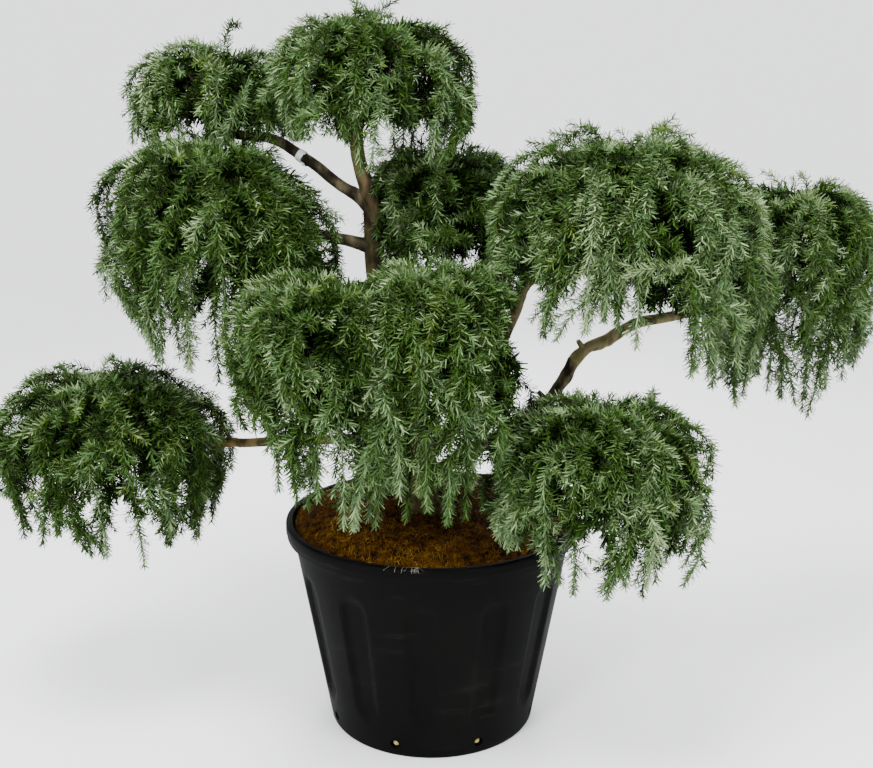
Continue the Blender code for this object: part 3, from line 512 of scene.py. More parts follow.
def mix_node(tree, kind, first, second, share=None):
    """Two colours mixed in full, or by a share that another node gives."""
    mix = tree.nodes.new("ShaderNodeMixRGB")
    mix.blend_type = kind
    mix.inputs["Fac"].default_value = 1.0
    tree.links.new(first, mix.inputs["Color1"])
    tree.links.new(second, mix.inputs["Color2"])
    if share is not None:
        tree.links.new(share, mix.inputs["Fac"])
    return mix.outputs["Color"]


def height_share(tree, low, high):
    """A share that grows from 0 to 1 between two heights."""
    parts = tree.nodes.new("ShaderNodeSeparateXYZ")
    tree.links.new(tree.nodes.new("ShaderNodeTexCoord").outputs["Object"], parts.inputs["Vector"])
    share = tree.nodes.new("ShaderNodeMapRange")
    share.inputs["From Min"].default_value = low
    share.inputs["From Max"].default_value = high
    tree.links.new(parts.outputs["Z"], share.inputs["Value"])
    return share.outputs["Result"]


def add_bumps(tree, shader, *layers):
    """Bumps over one another, each with its noise's scale, detail, stretch, its strength and its height."""
    normal = None
    for scale, detail, stretch, strength, distance in layers:
        bump = tree.nodes.new("ShaderNodeBump")
        bump.inputs["Strength"].default_value = strength
        bump.inputs["Distance"].default_value = distance
        tree.links.new(noise_node(tree, scale, detail, stretch), bump.inputs["Height"])
        if normal is not None:
            tree.links.new(normal, bump.inputs["Normal"])
        normal = bump.outputs["Normal"]
    tree.links.new(normal, shader.inputs["Normal"])


def bark_material(name, stops, roughness, low_stops=None, heights=None):
    """Bark with blotches of colour, fine ridges and grain. The low stops rule under the heights."""
    paint, tree, shader = new_material(name, roughness, 0.15)
    blotches = noise_node(tree, 34, 7, 0.5)
    colour = ramp_node(tree, blotches, stops)
    if low_stops:
        low_colour = ramp_node(tree, blotches, low_stops)
        colour = mix_node(tree, "MIX", low_colour, colour, height_share(tree, *heights))
    tree.links.new(colour, shader.inputs["Base Color"])
    add_bumps(tree, shader, (190, 5, 0.3, 0.55, 0.0012), (60, 4, 0.35, 0.6, 0.0025))
    return paint


def pot_material():
    """Black moulded plastic with a satin shine, dulled in patches and faintly scuffed."""
    paint, tree, shader = new_material("black_pot_plastic", 0.5, 0.020)
    patches = noise_node(tree, 5, 5)
    base = ramp_node(tree, patches, (
        (0.30, (0.0014, 0.0015, 0.0014)), (0.62, (0.0024, 0.0026, 0.0022)), (0.80, (0.0060, 0.0058, 0.0050))))
    scuffs = ramp_node(tree, noise_node(tree, 7, 7, 8), (
        (0.62, (0.0, 0.0, 0.0)), (0.66, (0.0030, 0.0030, 0.0027)), (0.70, (0.0, 0.0, 0.0))))
    dull = ramp_node(tree, patches, ((0.25, (0.44,) * 3), (0.75, (0.62,) * 3)))
    tree.links.new(mix_node(tree, "ADD", base, scuffs), shader.inputs["Base Color"])
    tree.links.new(dull, shader.inputs["Roughness"])
    add_bumps(tree, shader, (420, 3, None, 0.12, 0.0006), (9, 2, None, 0.25, 0.004))
    return paint


def soil_material():
    """Damp bark and moss fibre: dark brown, rust and golden patches with a rough crumb."""
    paint, tree, shader = new_material("fibre_topped_soil", 0.9, 0.05)
    colour = ramp_node(tree, noise_node(tree, 55, 8), (
        (0.30, (0.005, 0.0020, 0.0004)), (0.46, (0.022, 0.0080, 0.0008)),
        (0.56, (0.055, 0.0210, 0.0014)), (0.70, (0.120, 0.0560, 0.0032))))
    tree.links.new(colour, shader.inputs["Base Color"])
    add_bumps(tree, shader, (260, 6, None, 1.0, 0.006))
    return paint


# Lines and tubes

def unit(vectors):
    return vectors / np.maximum(np.linalg.norm(vectors, axis=-1, keepdims=True), 1e-9)


def resampled(line, wanted):
    """Points at the wanted distances along a line."""
    reach = walked(line)
    return np.column_stack([np.interp(wanted, reach, line[:, axis]) for axis in range(3)])


def smooth_line(knots, spacing):
    """Evenly spaced points on a smooth curve through the knots."""
    knots = np.asarray(knots, float)
    padded = np.vstack([2 * knots[0] - knots[1], knots, 2 * knots[-1] - knots[-2]])
    t = np.linspace(0, 1, 12, endpoint=False)[:, None]
    fine = []
    for a, b, c, d in zip(padded, padded[1:], padded[2:], padded[3:]):
        fine.append(0.5 * (2 * b + (c - a) * t + (2 * a - 5 * b + 4 * c - d) * t ** 2
                           + (3 * b - a - 3 * c + d) * t ** 3))
    fine = np.vstack([*fine, knots[-1:]])
    length = walked(fine)[-1]
    return resampled(fine, np.linspace(0, length, max(2, round(length / spacing)) + 1))


def tangents(line):
    ends = np.vstack([line[:1], line, line[-1:]])
    return unit(ends[2:] - ends[:-2])


def walked(line):
    """How far along the line each of its points is."""
    return np.concatenate([[0], np.cumsum(np.linalg.norm(np.diff(line, axis=0), axis=1))])


def trunk_x(height):
    line = smooth_line([(x, 0, z) for x, z in TRUNK_LINE], 0.02)
    return np.interp(height, line[:, 2], line[:, 0])


def trunk_radius(height):
    share = (height - GROUND) / (TRUNK_LINE[-1][1] - GROUND)
    return TRUNK_FOOT_RADIUS + (TRUNK_TIP_RADIUS - TRUNK_FOOT_RADIUS) * share


def bough_line(bough, pad, spacing):
    """From inside the trunk, through the bends, to a short upward turn under the pad's middle."""
    tip = np.array((*pad.centre, pad.hub))
    last = np.array(bough.bends[-1])
    arrival = unit((tip - last) * (1, 1, 0))
    before = tip - arrival * TURN_UP_RUN - UP * TURN_UP_RISE
    root = (trunk_x(bough.height), 0, bough.height)
    return smooth_line([root, *bough.bends, before, tip], spacing)


def bough_radii(bough, line):
    """Taper from the trunk to the tip, with a collar where the bough leaves the bark."""
    reach = walked(line)
    radii = bough.radius + (BOUGH_TIP_RADIUS - bough.radius) * reach / reach[-1]
    past_bark = np.maximum(0, reach - trunk_radius(bough.height))
    return radii * (1 + COLLAR_GAIN * np.exp(-past_bark / COLLAR_LENGTH))


def spokes_round(across, other, sides):
    """Directions all round, from two that are square to each other, at each point of a line."""
    angles = math.tau * np.arange(sides) / sides
    return across[:, None] * np.cos(angles)[None, :, None] + other[:, None] * np.sin(angles)[None, :, None]


def rings_round(line, normals, radii, sides, side_ways):
    """Rings of points round a line, radii given for each ring or for each point of each ring."""
    normals = np.ascontiguousarray(np.broadcast_to(normals, line.shape))
    across = unit(side_ways - normals * (normals @ side_ways)[:, None])
    radii = np.broadcast_to(np.asarray(radii).reshape(len(line), -1), (len(line), sides))[..., None]
    return line[:, None] + radii * spokes_round(across, np.cross(normals, across), sides)


def grid_faces(rings, sides, first=0):
    """Quads between rings of points that close round."""
    ring = np.arange(rings - 1)[:, None] * sides
    side = np.arange(sides)[None, :]
    after = (side + 1) % sides
    corners = np.stack([ring + side, ring + after, ring + sides + after, ring + sides + side], axis=-1)
    return corners.reshape(-1, 4) + first


def circle(radius, angles, height):
    """Points round the Z axis."""
    return np.stack([radius * np.cos(angles), radius * np.sin(angles), 0 * angles + height], axis=-1)


def fan_faces(ring_first, sides, centre, outward):
    """Triangles from a ring to one point."""
    side = np.arange(sides)
    after = (side + 1) % sides
    order = (side, after) if outward else (after, side)
    return np.stack([order[0] + ring_first, order[1] + ring_first, np.full(sides, centre)], axis=-1)


def capped_tube(name, rings, paint, top_paint=None):
    """A closed tube through rings of points, its flat top in a paint of its own if one is given."""
    count, sides = rings.shape[:2]
    points = np.vstack([rings.reshape(-1, 3), rings[0].mean(axis=0), rings[-1].mean(axis=0)])
    groups = [
        grid_faces(count, sides),
        fan_faces(0, sides, count * sides, False),
        fan_faces((count - 1) * sides, sides, count * sides + 1, True),
    ]
    if top_paint:
        return piece_from(name, points, groups, [paint, top_paint], group_paint=(0, 0, 1))
    return piece_from(name, points, groups, [paint])


# Bark

def relief(reach, angle, radius, seed, scars):
    """How far the bark stands out: long ridges, small scales, and the scars of cut twigs."""
    c, s = math.cos(angle), math.sin(angle)
    girth = max(THIN_LIMB_RELIEF, min(1.0, radius / FULL_RELIEF_RADIUS))
    ridges = noise.noise((c * 2.6, s * 2.6, reach * 16 + seed))
    fissures = abs(noise.noise((c * 5.5 + 9, s * 5.5, reach * 34 + seed)))
    scales = noise.fractal((c * 9, s * 9, reach * 110 + seed), 0.8, 2.2, 3)
    out = girth * (RIDGE_DEPTH * ridges - FISSURE_DEPTH * fissures + SCALE_DEPTH * scales)
    for place, turn, size in scars:
        off = (angle - turn + math.pi) % math.tau - math.pi
        away = ((reach - place) ** 2 + (off * radius) ** 2) / (size * size)
        if away < 9:
            out += size * SCAR_RISE * math.exp(-away) - size * SCAR_DIP * math.exp(-away * 7)
    return out


def scars_along(length, spacing, size, rng):
    """Places, angles and sizes of the small scars along a limb."""
    count = int(length / spacing)
    places = (np.arange(count) + rng.uniform(0.15, 0.85, count)) * spacing
    return list(zip(places, rng.uniform(0, math.tau, count), size * rng.uniform(0.6, 1.25, count)))


def make_trunk(paint):
    """The trunk from the soil to its tip, with lobed flare and bark relief."""
    rng = np.random.default_rng([SEED, 1])
    top = TRUNK_LINE[-1][1]
    heights = np.linspace(GROUND - TRUNK_SUNK, top, TRUNK_RINGS)
    scars = scars_along(top - GROUND, *TRUNK_SCARS, rng)
    rings = np.empty((TRUNK_RINGS, TRUNK_SIDES, 3))
    for level, height in enumerate(heights):
        centre = trunk_x(height)
        flare = FLARE_RADIUS * max(0, 1 - max(0, height - GROUND) / FLARE_HEIGHT) ** 2
        for side in range(TRUNK_SIDES):
            angle = math.tau * side / TRUNK_SIDES
            lobe = 1 + FLARE_LOBE_DEPTH * math.cos(FLARE_LOBES * angle)
            radius = trunk_radius(max(GROUND, height)) + flare * lobe
            radius += relief(height, angle, radius, 3.0, scars)
            rings[level, side] = centre + radius * math.cos(angle), radius * math.sin(angle), height
    dress(capped_tube("trunk_bark", rings, paint), "bark", "trunk")


def limb_rings(line, radii, seed, scars, sides, side_ways):
    reach = walked(line)
    shaped = np.array([[radius + relief(far, math.tau * side / sides, radius, seed, scars)
                        for side in range(sides)] for far, radius in zip(reach, radii)])
    return rings_round(line, tangents(line), shaped, sides, side_ways)


def sharpened(bends):
    """The bends with points close before and after each, so that the line turns sharply there."""
    bends = np.array(bends)
    knots = [bends[0]]
    for before, here, after in zip(bends, bends[1:], bends[2:]):
        knots += [here + (before - here) * KINK_SHARE, here + (after - here) * KINK_SHARE]
    return [*knots, bends[-1]]


def make_bough(bough, pad, number, bark, cut_wood):
    """One bough with its collar and bark relief, and the stubs or the tie that are on it."""
    rng = np.random.default_rng([SEED, 2, number])
    kinked = bough.name == "bough_far_right"
    drawn = bough._replace(bends=sharpened(bough.bends)) if kinked else bough
    line = bough_line(drawn, pad, BOUGH_SPACING)
    radii = bough_radii(bough, line)
    reach = walked(line)
    scars = scars_along(reach[-1], *BOUGH_SCARS, rng)
    if kinked:
        scars += [(share * reach[-1], turn, size) for share, turn, size in KNOBS]
    calm = np.clip(reach / STRAIGHT_END, 0, 1) * np.clip((reach[-1] - reach) / STRAIGHT_END, 0, 1)
    bends = np.array([noise.noise_vector((far * 16, number * 5.0, 0.5)) for far in reach])
    line = line + bends * (calm * GNARL)[:, None]
    rings = limb_rings(line, radii, 11.0 * number, scars, BOUGH_SIDES, np.array((0.1, 1, 0.05)))
    dress(capped_tube(bough.name + "_bark", rings, bark), "bark", bough.name)
    if bough.name == "bough_upper_left":
        make_tie(line, radii)
        make_stub(len(STUBS), CUT_BY_TIE, bark, bark, 1.5)
    if kinked:
        for stub_number, stub in enumerate(STUBS):
            make_stub(stub_number, stub, bark, cut_wood, 1.0)


def make_tie(line, radii):
    """A band of white plastic wound round the upper left bough, with a short loose end."""
    paint = plain_material("white_tie", (0.62, 0.62, 0.66), 0.45)
    middle = np.linalg.norm(line - TIE_PLACE, axis=1).argmin()
    along = tangents(line)[middle]
    wraps = np.array((0.2, 1, 1.1, 1, 1.15, 1, 1.1, 1, 0.2))
    places = line[middle] + along * np.linspace(-TIE_HALF_LENGTH, TIE_HALF_LENGTH, len(wraps))[:, None]
    rings = rings_round(places, along, radii[middle] + TIE_THICKNESS * wraps + TIE_GAP, 28,
                        np.array((0.0, 1, 0)))
    dress(capped_tube("tie_band", rings, paint), "pot_plastic", "bough_upper_left")
    drop = np.linspace(0, TIE_END_LENGTH, 6)[:, None]
    tail = line[middle] + (0.002, -radii[middle] - 0.002, -0.004) + drop * unit(np.array((0.25, -0.15, -1)))
    rings = rings_round(tail, -UP, np.tile(TIE_END_RADII, (6, 6)), 12, np.array((1.0, 0, 0)))
    dress(capped_tube("tie_end", rings, paint), "pot_plastic")


def make_stub(number, stub, bark, cut_wood, thickness):
    """A cut side twig with a plain end."""
    place, direction, length = stub
    along = unit(np.array(direction, float))
    line = np.array(place) + along * np.linspace(0, length, STUB_RINGS)[:, None]
    radii = STUB_RADIUS * thickness * np.linspace(1.25, 0.85, STUB_RINGS)
    radii[-1] *= 0.9
    rings = limb_rings(line, radii, 70.0 + number, [], 16, np.array((1.0, 0, 0)))
    dress(capped_tube(f"stub_{number + 1}", rings, bark, cut_wood), "bark")


# Foliage

def shoulder_height(pad, x):
    """Where the dome turns into the skirt, x being the place from left to right as a share of the radius."""
    return pad.shoulder - LOOKS[pad.name].lean * (pad.top - pad.shoulder) * np.clip(x, 0, 1.1)


def pad_point(pad, angle, rise, share):
    """Points of the pad's dome: angle round it, rise above its shoulder, share of its size."""
    flat = np.cos(rise) * share
    x = flat * np.cos(angle)
    return np.stack(np.broadcast_arrays(
        pad.centre[0] + pad.radii[0] * x,
        pad.centre[1] + pad.radii[1] * flat * np.sin(angle),
        shoulder_height(pad, x) + (pad.top - pad.shoulder) * np.sin(rise) * share,
    ), axis=-1)


def angle_round(pad, points):
    """Angles of points round the middle of the pad."""
    return np.arctan2((points[..., 1] - pad.centre[1]) / pad.radii[1],
                      (points[..., 0] - pad.centre[0]) / pad.radii[0])


def hem_drop(pad, angle):
    """How far the lowest tips hang under the shoulder at an angle, between the four that are given."""
    left, front, right, back = pad.hems
    across, away = np.cos(angle), np.sin(angle)
    return pad.shoulder - (across ** 2 * np.where(across > 0, right, left)
                           + away ** 2 * np.where(away > 0, back, front))


def shell_place(pad, points):
    """Outward normals of the pad's shell at some points, their shares of its size, and metres per share."""
    x = (points[:, 0] - pad.centre[0]) / pad.radii[0]
    y = (points[:, 1] - pad.centre[1]) / pad.radii[1]
    tall = pad.top - pad.shoulder
    z = np.maximum(0, (points[:, 2] - shoulder_height(pad, x)) / tall)
    share = np.maximum(0.05, np.sqrt(x * x + y * y + z * z))
    slope = np.stack([x / pad.radii[0], y / pad.radii[1], z / tall], axis=-1) / share[:, None]
    steepness = np.linalg.norm(slope, axis=1)
    return slope / steepness[:, None], share, 1 / steepness


class Shoots:
    """Many shoots of one pad, grown side by side: their paths, and how many steps of each are kept."""

    def __init__(self, paths, kept):
        self.paths = paths
        self.kept = kept

    @property
    def lengths(self):
        return self.kept * STEP

    def at(self, shoot, distance):
        """Points and directions at distances along the numbered shoots."""
        place = np.minimum(distance / STEP, self.kept[shoot] - 1e-6)
        low = np.floor(place).astype(int)
        share = (place - low)[:, None]
        start = self.paths[shoot, low]
        end = self.paths[shoot, low + 1]
        return start + (end - start) * share, unit(end - start)

    def pick(self, wanted):
        return Shoots(self.paths[wanted], self.kept[wanted])


def grow(pad, rng, start, heading, length, target, hem_share, weep, spring, limbs):
    """Steps every shoot on: gravity bends it down while it is held near its own layer of the shell."""
    count = len(start)
    steps = int(math.ceil(length.max() / STEP))
    paths = np.empty((count, steps + 1, 3))
    paths[:, 0] = start
    point = start.copy()
    heading = unit(heading)
    phase = rng.uniform(0, math.tau, 3)
    kick = rng.uniform(*TIP_KICKS, count) * (rng.uniform(0, 1, count) < KICKED_SHARE)
    pull_in = LOOKS[pad.name].pull_in
    for step in range(steps):
        normal, share, metres = shell_place(pad, point)
        angle = angle_round(pad, point)
        depth = np.clip((pad.shoulder - point[:, 2]) / hem_drop(pad, angle), 0, 1)
        lumps = LUMP_SIZE * (np.sin(3 * angle + phase[0]) + np.sin(5 * angle + phase[1]))
        progress = np.minimum(1, step * STEP / length)
        off = (target + lumps + kick * progress ** 4 - pull_in * depth ** 1.5 - share) * metres
        fall = -UP + normal * normal[:, 2:3]
        outward = np.einsum("ij,ij->i", heading, normal)
        heading = heading + STEP * (
            weep * fall
            + normal * (spring * off - SHELL_DAMPING * spring / SHELL_SPRING * outward)[:, None]
        ) + rng.normal(0, WANDER, (count, 3))
        heading = unit(heading)
        point = point + heading * STEP
        paths[:, step + 1] = point
    kept = np.minimum(steps, np.round(length / STEP).astype(int))
    stop = past_hem(pad, paths, hem_share) | out_of_bounds(paths, limbs)
    stop[:, 0] = False
    first = np.where(stop.any(axis=1), stop.argmax(axis=1) - 1, steps)
    return Shoots(paths, np.minimum(kept, first))


def past_hem(pad, paths, hem_share):
    """True where a path is lower than its own share of the way down to the hem."""
    return paths[..., 2] < pad.shoulder - hem_drop(pad, angle_round(pad, paths)) * hem_share[:, None]


def out_of_bounds(paths, limbs):
    """True where a path would touch a limb or the pot, leave the solids' box or fill an open place."""
    flat = paths.reshape(-1, 3)
    touching = np.zeros(len(flat), bool)
    centres, radii = limbs
    for first in range(0, len(flat), POINTS_AT_ONCE):
        some = flat[first:first + POINTS_AT_ONCE]
        gaps = np.linalg.norm(some[:, None] - centres[None], axis=2) - radii[None]
        touching[first:first + POINTS_AT_ONCE] = (gaps < LIMB_ROOM).any(axis=1)
    in_pot = (np.hypot(flat[:, 0], flat[:, 1]) < LIP_RADIUS + POT_ROOM) & (flat[:, 2] < GROUND + SOIL_ROOM)
    outside = np.abs(flat[:, 1]) > BOX_ROOM + min(cad_high[1], -cad_low[1])
    outside |= flat[:, 2] > BOX_ROOM + cad_high[2]
    return (touching | in_pot | outside | seen_open(flat)).reshape(paths.shape[:2])


def seen_open(points):
    """True for points that the camera would see in one of the open places."""
    forward = np.array((0, math.cos(CAMERA_PITCH), math.sin(CAMERA_PITCH)))
    upward = np.array((0, -math.sin(CAMERA_PITCH), math.cos(CAMERA_PITCH)))
    ray = points - np.array(CAMERA_PLACE)
    size = CAMERA_LENS / SENSOR_WIDTH * PICTURE_WIDTH / (ray @ forward)
    across = PICTURE_WIDTH / 2 + ray[:, 0] * size
    down = PICTURE_HEIGHT / 2 - (ray @ upward) * size
    seen = np.zeros(len(points), bool)
    for corners in OPEN_PLACES.values():
        inside = np.zeros(len(points), bool)
        for (ax, ay), (bx, by) in zip(corners, corners[1:] + corners[:1]):
            if ay != by:
                crossing = (ay > down) != (by > down)
                inside ^= crossing & (across < (bx - ax) * (down - ay) / (by - ay) + ax)
        seen |= inside
    return seen


def limbs_near(pad):
    """Points and radii along the trunk and the boughs, but for the end that carries this pad."""
    heights = np.arange(GROUND, TRUNK_LINE[-1][1], 0.015)
    centres = [np.stack([trunk_x(heights), 0 * heights, heights], axis=-1)]
    radii = [trunk_radius(heights)]
    for other in PADS:
        if other.name in BOUGHS:
            line = bough_line(BOUGHS[other.name], other, 0.012)
            centres.append(line)
            radii.append(bough_radii(BOUGHS[other.name], line))
    centres = np.vstack(centres)
    hub = np.array((*pad.centre, pad.hub or TRUNK_LINE[-1][1]))
    away = np.linalg.norm(centres - hub, axis=1) > HUB_ROOM
    return centres[away], np.concatenate(radii)[away]


def shell_shoots(pad, rng, limbs, kind, hem_reach):
    """Shoots that start inside the dome, spread over its shell and weep past its rim."""
    tall = pad.top - pad.shoulder
    mean_radius = math.sqrt(pad.radii[0] * pad.radii[1])
    drop = pad.shoulder - sum(pad.hems) / 4
    area = math.pi * mean_radius ** 2 * (1 + 0.6 * tall / mean_radius) + math.tau * mean_radius * drop * 0.7
    count = round(area * kind.per_area * LOOKS[pad.name].fullness)
    order = np.arange(count)
    angle = rng.uniform(0, math.tau) + GOLDEN_ANGLE * order + rng.uniform(-0.1, 0.1, count)
    level = (order + rng.uniform(0, 1, count)) / count
    skirt = level < SKIRT_SHARE
    rise = np.arcsin(((level - SKIRT_SHARE).clip(0, 1) / (1 - SKIRT_SHARE)) ** 0.62)
    start_share = rng.uniform(*kind.starts, count) + TOP_START_GAIN * np.where(skirt, 0, np.sin(rise) ** 2)
    start = pad_point(pad, angle, rise, start_share)
    skirt_depth = hem_drop(pad, angle) * SKIRT_START_DEPTH * (1 - level / SKIRT_SHARE)
    start[:, 2] -= np.where(skirt, skirt_depth, 0)
    normal, _, _ = shell_place(pad, start)
    side = unit(np.cross(UP, normal + (1e-6, 0, 0)))
    fall = unit(-UP + normal * normal[:, 2:3])
    heading = normal * OUTWARD_PUSH + np.where(skirt, *SHOOT_FALLS)[:, None] * fall
    heading += side * rng.normal(0, FAN_SPREAD, count)[:, None]
    length = np.where(skirt, rng.uniform(*kind.skirt_lengths, count), rng.uniform(*kind.lengths, count))
    target = rng.uniform(*kind.targets, count) + WILD_GAIN * (rng.uniform(0, 1, count) < WILD_SHARE)
    hem_share = hem_reach * (HEM_LEAST + (1 - HEM_LEAST) * rng.uniform(0, 1, count))
    shoots = grow(pad, rng, start, heading, length, target, hem_share, MAIN_WEEP, SHELL_SPRING, limbs)
    return shoots, target, hem_share


def top_shoots(pad, rng, limbs):
    """Short shoots that stand over the dome, leaning out of its middle."""
    count = round(math.pi * pad.radii[0] * pad.radii[1] * TOP_SHOOTS_PER_AREA * LOOKS[pad.name].fullness)
    angle = GOLDEN_ANGLE * np.arange(count) + rng.uniform(-0.3, 0.3, count)
    rise = np.arccos(np.sqrt((np.arange(count) + 0.5) / count) * math.cos(TOP_LEAST_RISE))
    start = pad_point(pad, angle, rise, rng.uniform(*TOP_START_SHARES, count))
    normal, _, _ = shell_place(pad, start)
    fall = unit(-UP + normal * normal[:, 2:3] + (1e-6, 0, 0))
    sideways = 1.05 - 0.75 * np.sin(rise)[:, None] ** 4
    heading = normal * rng.uniform(0.3, 0.8, count)[:, None] + fall * sideways
    heading = heading + rng.normal(0, TOP_SPREAD, (count, 3))
    length = rng.uniform(*TOP_LENGTHS, count)
    target = rng.uniform(*TOP_TARGET_SHARES, count)
    shoots = grow(pad, rng, start, heading, length, target, np.ones(count), TOP_WEEP, TOP_SPRING, limbs)
    return shoots.pick(shoots.kept >= LEAST_STEPS)


def cap_shoots(pad, rng, limbs):
    """Shoots that cross the middle of the dome every way, so that it closes over the stems."""
    count = round(math.pi * pad.radii[0] * pad.radii[1] * CAP_SHOOTS_PER_AREA)
    rise = np.arccos(np.sqrt((np.arange(count) + 0.5) / count) * CAP_REACH)
    start = pad_point(pad, GOLDEN_ANGLE * np.arange(count), rise, rng.uniform(*CAP_TARGET_SHARES, count))
    turn = rng.uniform(0, math.tau, count)
    heading = np.stack([np.cos(turn), np.sin(turn), rng.uniform(0, 0.4, count)], axis=-1)
    length = rng.uniform(*CAP_LENGTHS, count)
    target = rng.uniform(*CAP_TARGET_SHARES, count)
    shoots = grow(pad, rng, start, heading, length, target, np.ones(count), TOP_WEEP, TOP_SPRING, limbs)
    return shoots.pick(shoots.kept >= LEAST_STEPS)


def side_shoots(pad, rng, parents, target, hem_share, limbs):
    """Shoots along both sides of their parents, shorter towards its tip."""
    owner, place, turn = [], [], []
    for shoot, length in enumerate(parents.lengths):
        spots = np.arange(BARE_ROOT, length - BARE_TIP, SIDE_SPACING)
        owner.append(np.full(len(spots), shoot))
        place.append(spots + rng.uniform(-SIDE_JITTER, SIDE_JITTER, len(spots)))
        turn.append(np.where((np.arange(len(spots)) + shoot) % 2, 1.0, -1.0))
    owner, place, turn = map(np.concatenate, (owner, place, turn))
    start, along = parents.at(owner, place)
    normal, _, _ = shell_place(pad, start)
    side = unit(np.cross(along, normal)) * turn[:, None]
    angle = SIDE_ANGLE + rng.normal(0, 0.16, len(owner))
    heading = along * np.cos(angle)[:, None] + side * np.sin(angle)[:, None]
    heading += normal * rng.uniform(*SIDE_RISES, len(owner))[:, None]
    share = place / parents.lengths[owner]
    length = rng.uniform(*SIDE_LENGTHS, len(owner)) * (1.1 - 0.55 * share)
    own_target = target[owner] + rng.uniform(-0.06, 0.06, len(owner))
    own_hem = np.minimum(hem_share[owner], HEM_LEAST + (1 - HEM_LEAST) * rng.uniform(0, 1, len(owner)) ** 2)
    shoots = grow(pad, rng, start, heading, length, own_target, own_hem, SIDE_WEEP, SIDE_SPRING, limbs)
    long_enough = shoots.kept >= LEAST_STEPS
    return shoots.pick(long_enough), owner[long_enough]


def bent(start, over, end, t):
    """Points on a quadratic curve."""
    return start * (1 - t) ** 2 + over * 2 * t * (1 - t) + end * t ** 2


def shoots_on(lines):
    """Shoots along lines of unequal numbers of points."""
    longest = max(len(line) for line in lines)
    paths = np.stack([np.vstack([line, np.repeat(line[-1:], longest - len(line), axis=0)]) for line in lines])
    return Shoots(paths, np.array([len(line) - 1 for line in lines]))


def leader_shoots(pad):
    """The longer shoots that stand out of the pad to given tips."""
    t = np.linspace(0, 1, 12)[:, None]
    lines = []
    for tip in pad.leaders:
        tip = np.array(tip)
        away = np.array(((tip[0] - pad.centre[0]) / pad.radii[0], (tip[1] - pad.centre[1]) / pad.radii[1]))
        rise = math.atan2((tip[2] - pad.shoulder) / (pad.top - pad.shoulder), np.linalg.norm(away))
        root = pad_point(pad, math.atan2(away[1], away[0]), min(1.35, max(0.35, rise)), CORE_MIDDLE)
        curve = bent(root, (root + tip) / 2 + UP * LEADER_ARCH, tip, t)
        lines.append(resampled(curve, np.arange(0, walked(curve)[-1], STEP)))
    return shoots_on(lines) if lines else None


def tint_weights(tone, height):
    """How likely each tint is for a shoot: sunlit tops are yellower, hanging shoots cooler and paler."""
    hanging = 1 - height
    weights = {
        "shade": 0.03,
        "deep": tone.dark,
        "mid": 0.85,
        "blue": (tone.cool + tone.pale) * (0.4 + 0.6 * hanging),
        "lime": tone.lime * (0.10 + 0.8 * height ** 2),
        "pale": tone.pale * (0.05 + 0.10 * hanging),
        "painted_highlight": 0.0,
    }
    weights = np.stack([weights[name] + 0 * height for name in TINT_NAMES], axis=1)
    return weights / weights.sum(axis=1, keepdims=True)


def draw_tints(rng, weights):
    edges = np.cumsum(weights, axis=1)
    return (rng.uniform(0, 1, len(weights))[:, None] > edges).sum(axis=1).clip(0, len(TINT_NAMES) - 1)


def across_and_other(along):
    """Two directions that are square to each given one and to each other."""
    reference = np.where(np.abs(along[:, 2:3]) > 0.9, (1.0, 0, 0), UP)
    across = unit(np.cross(along, reference))
    return across, np.cross(along, across)


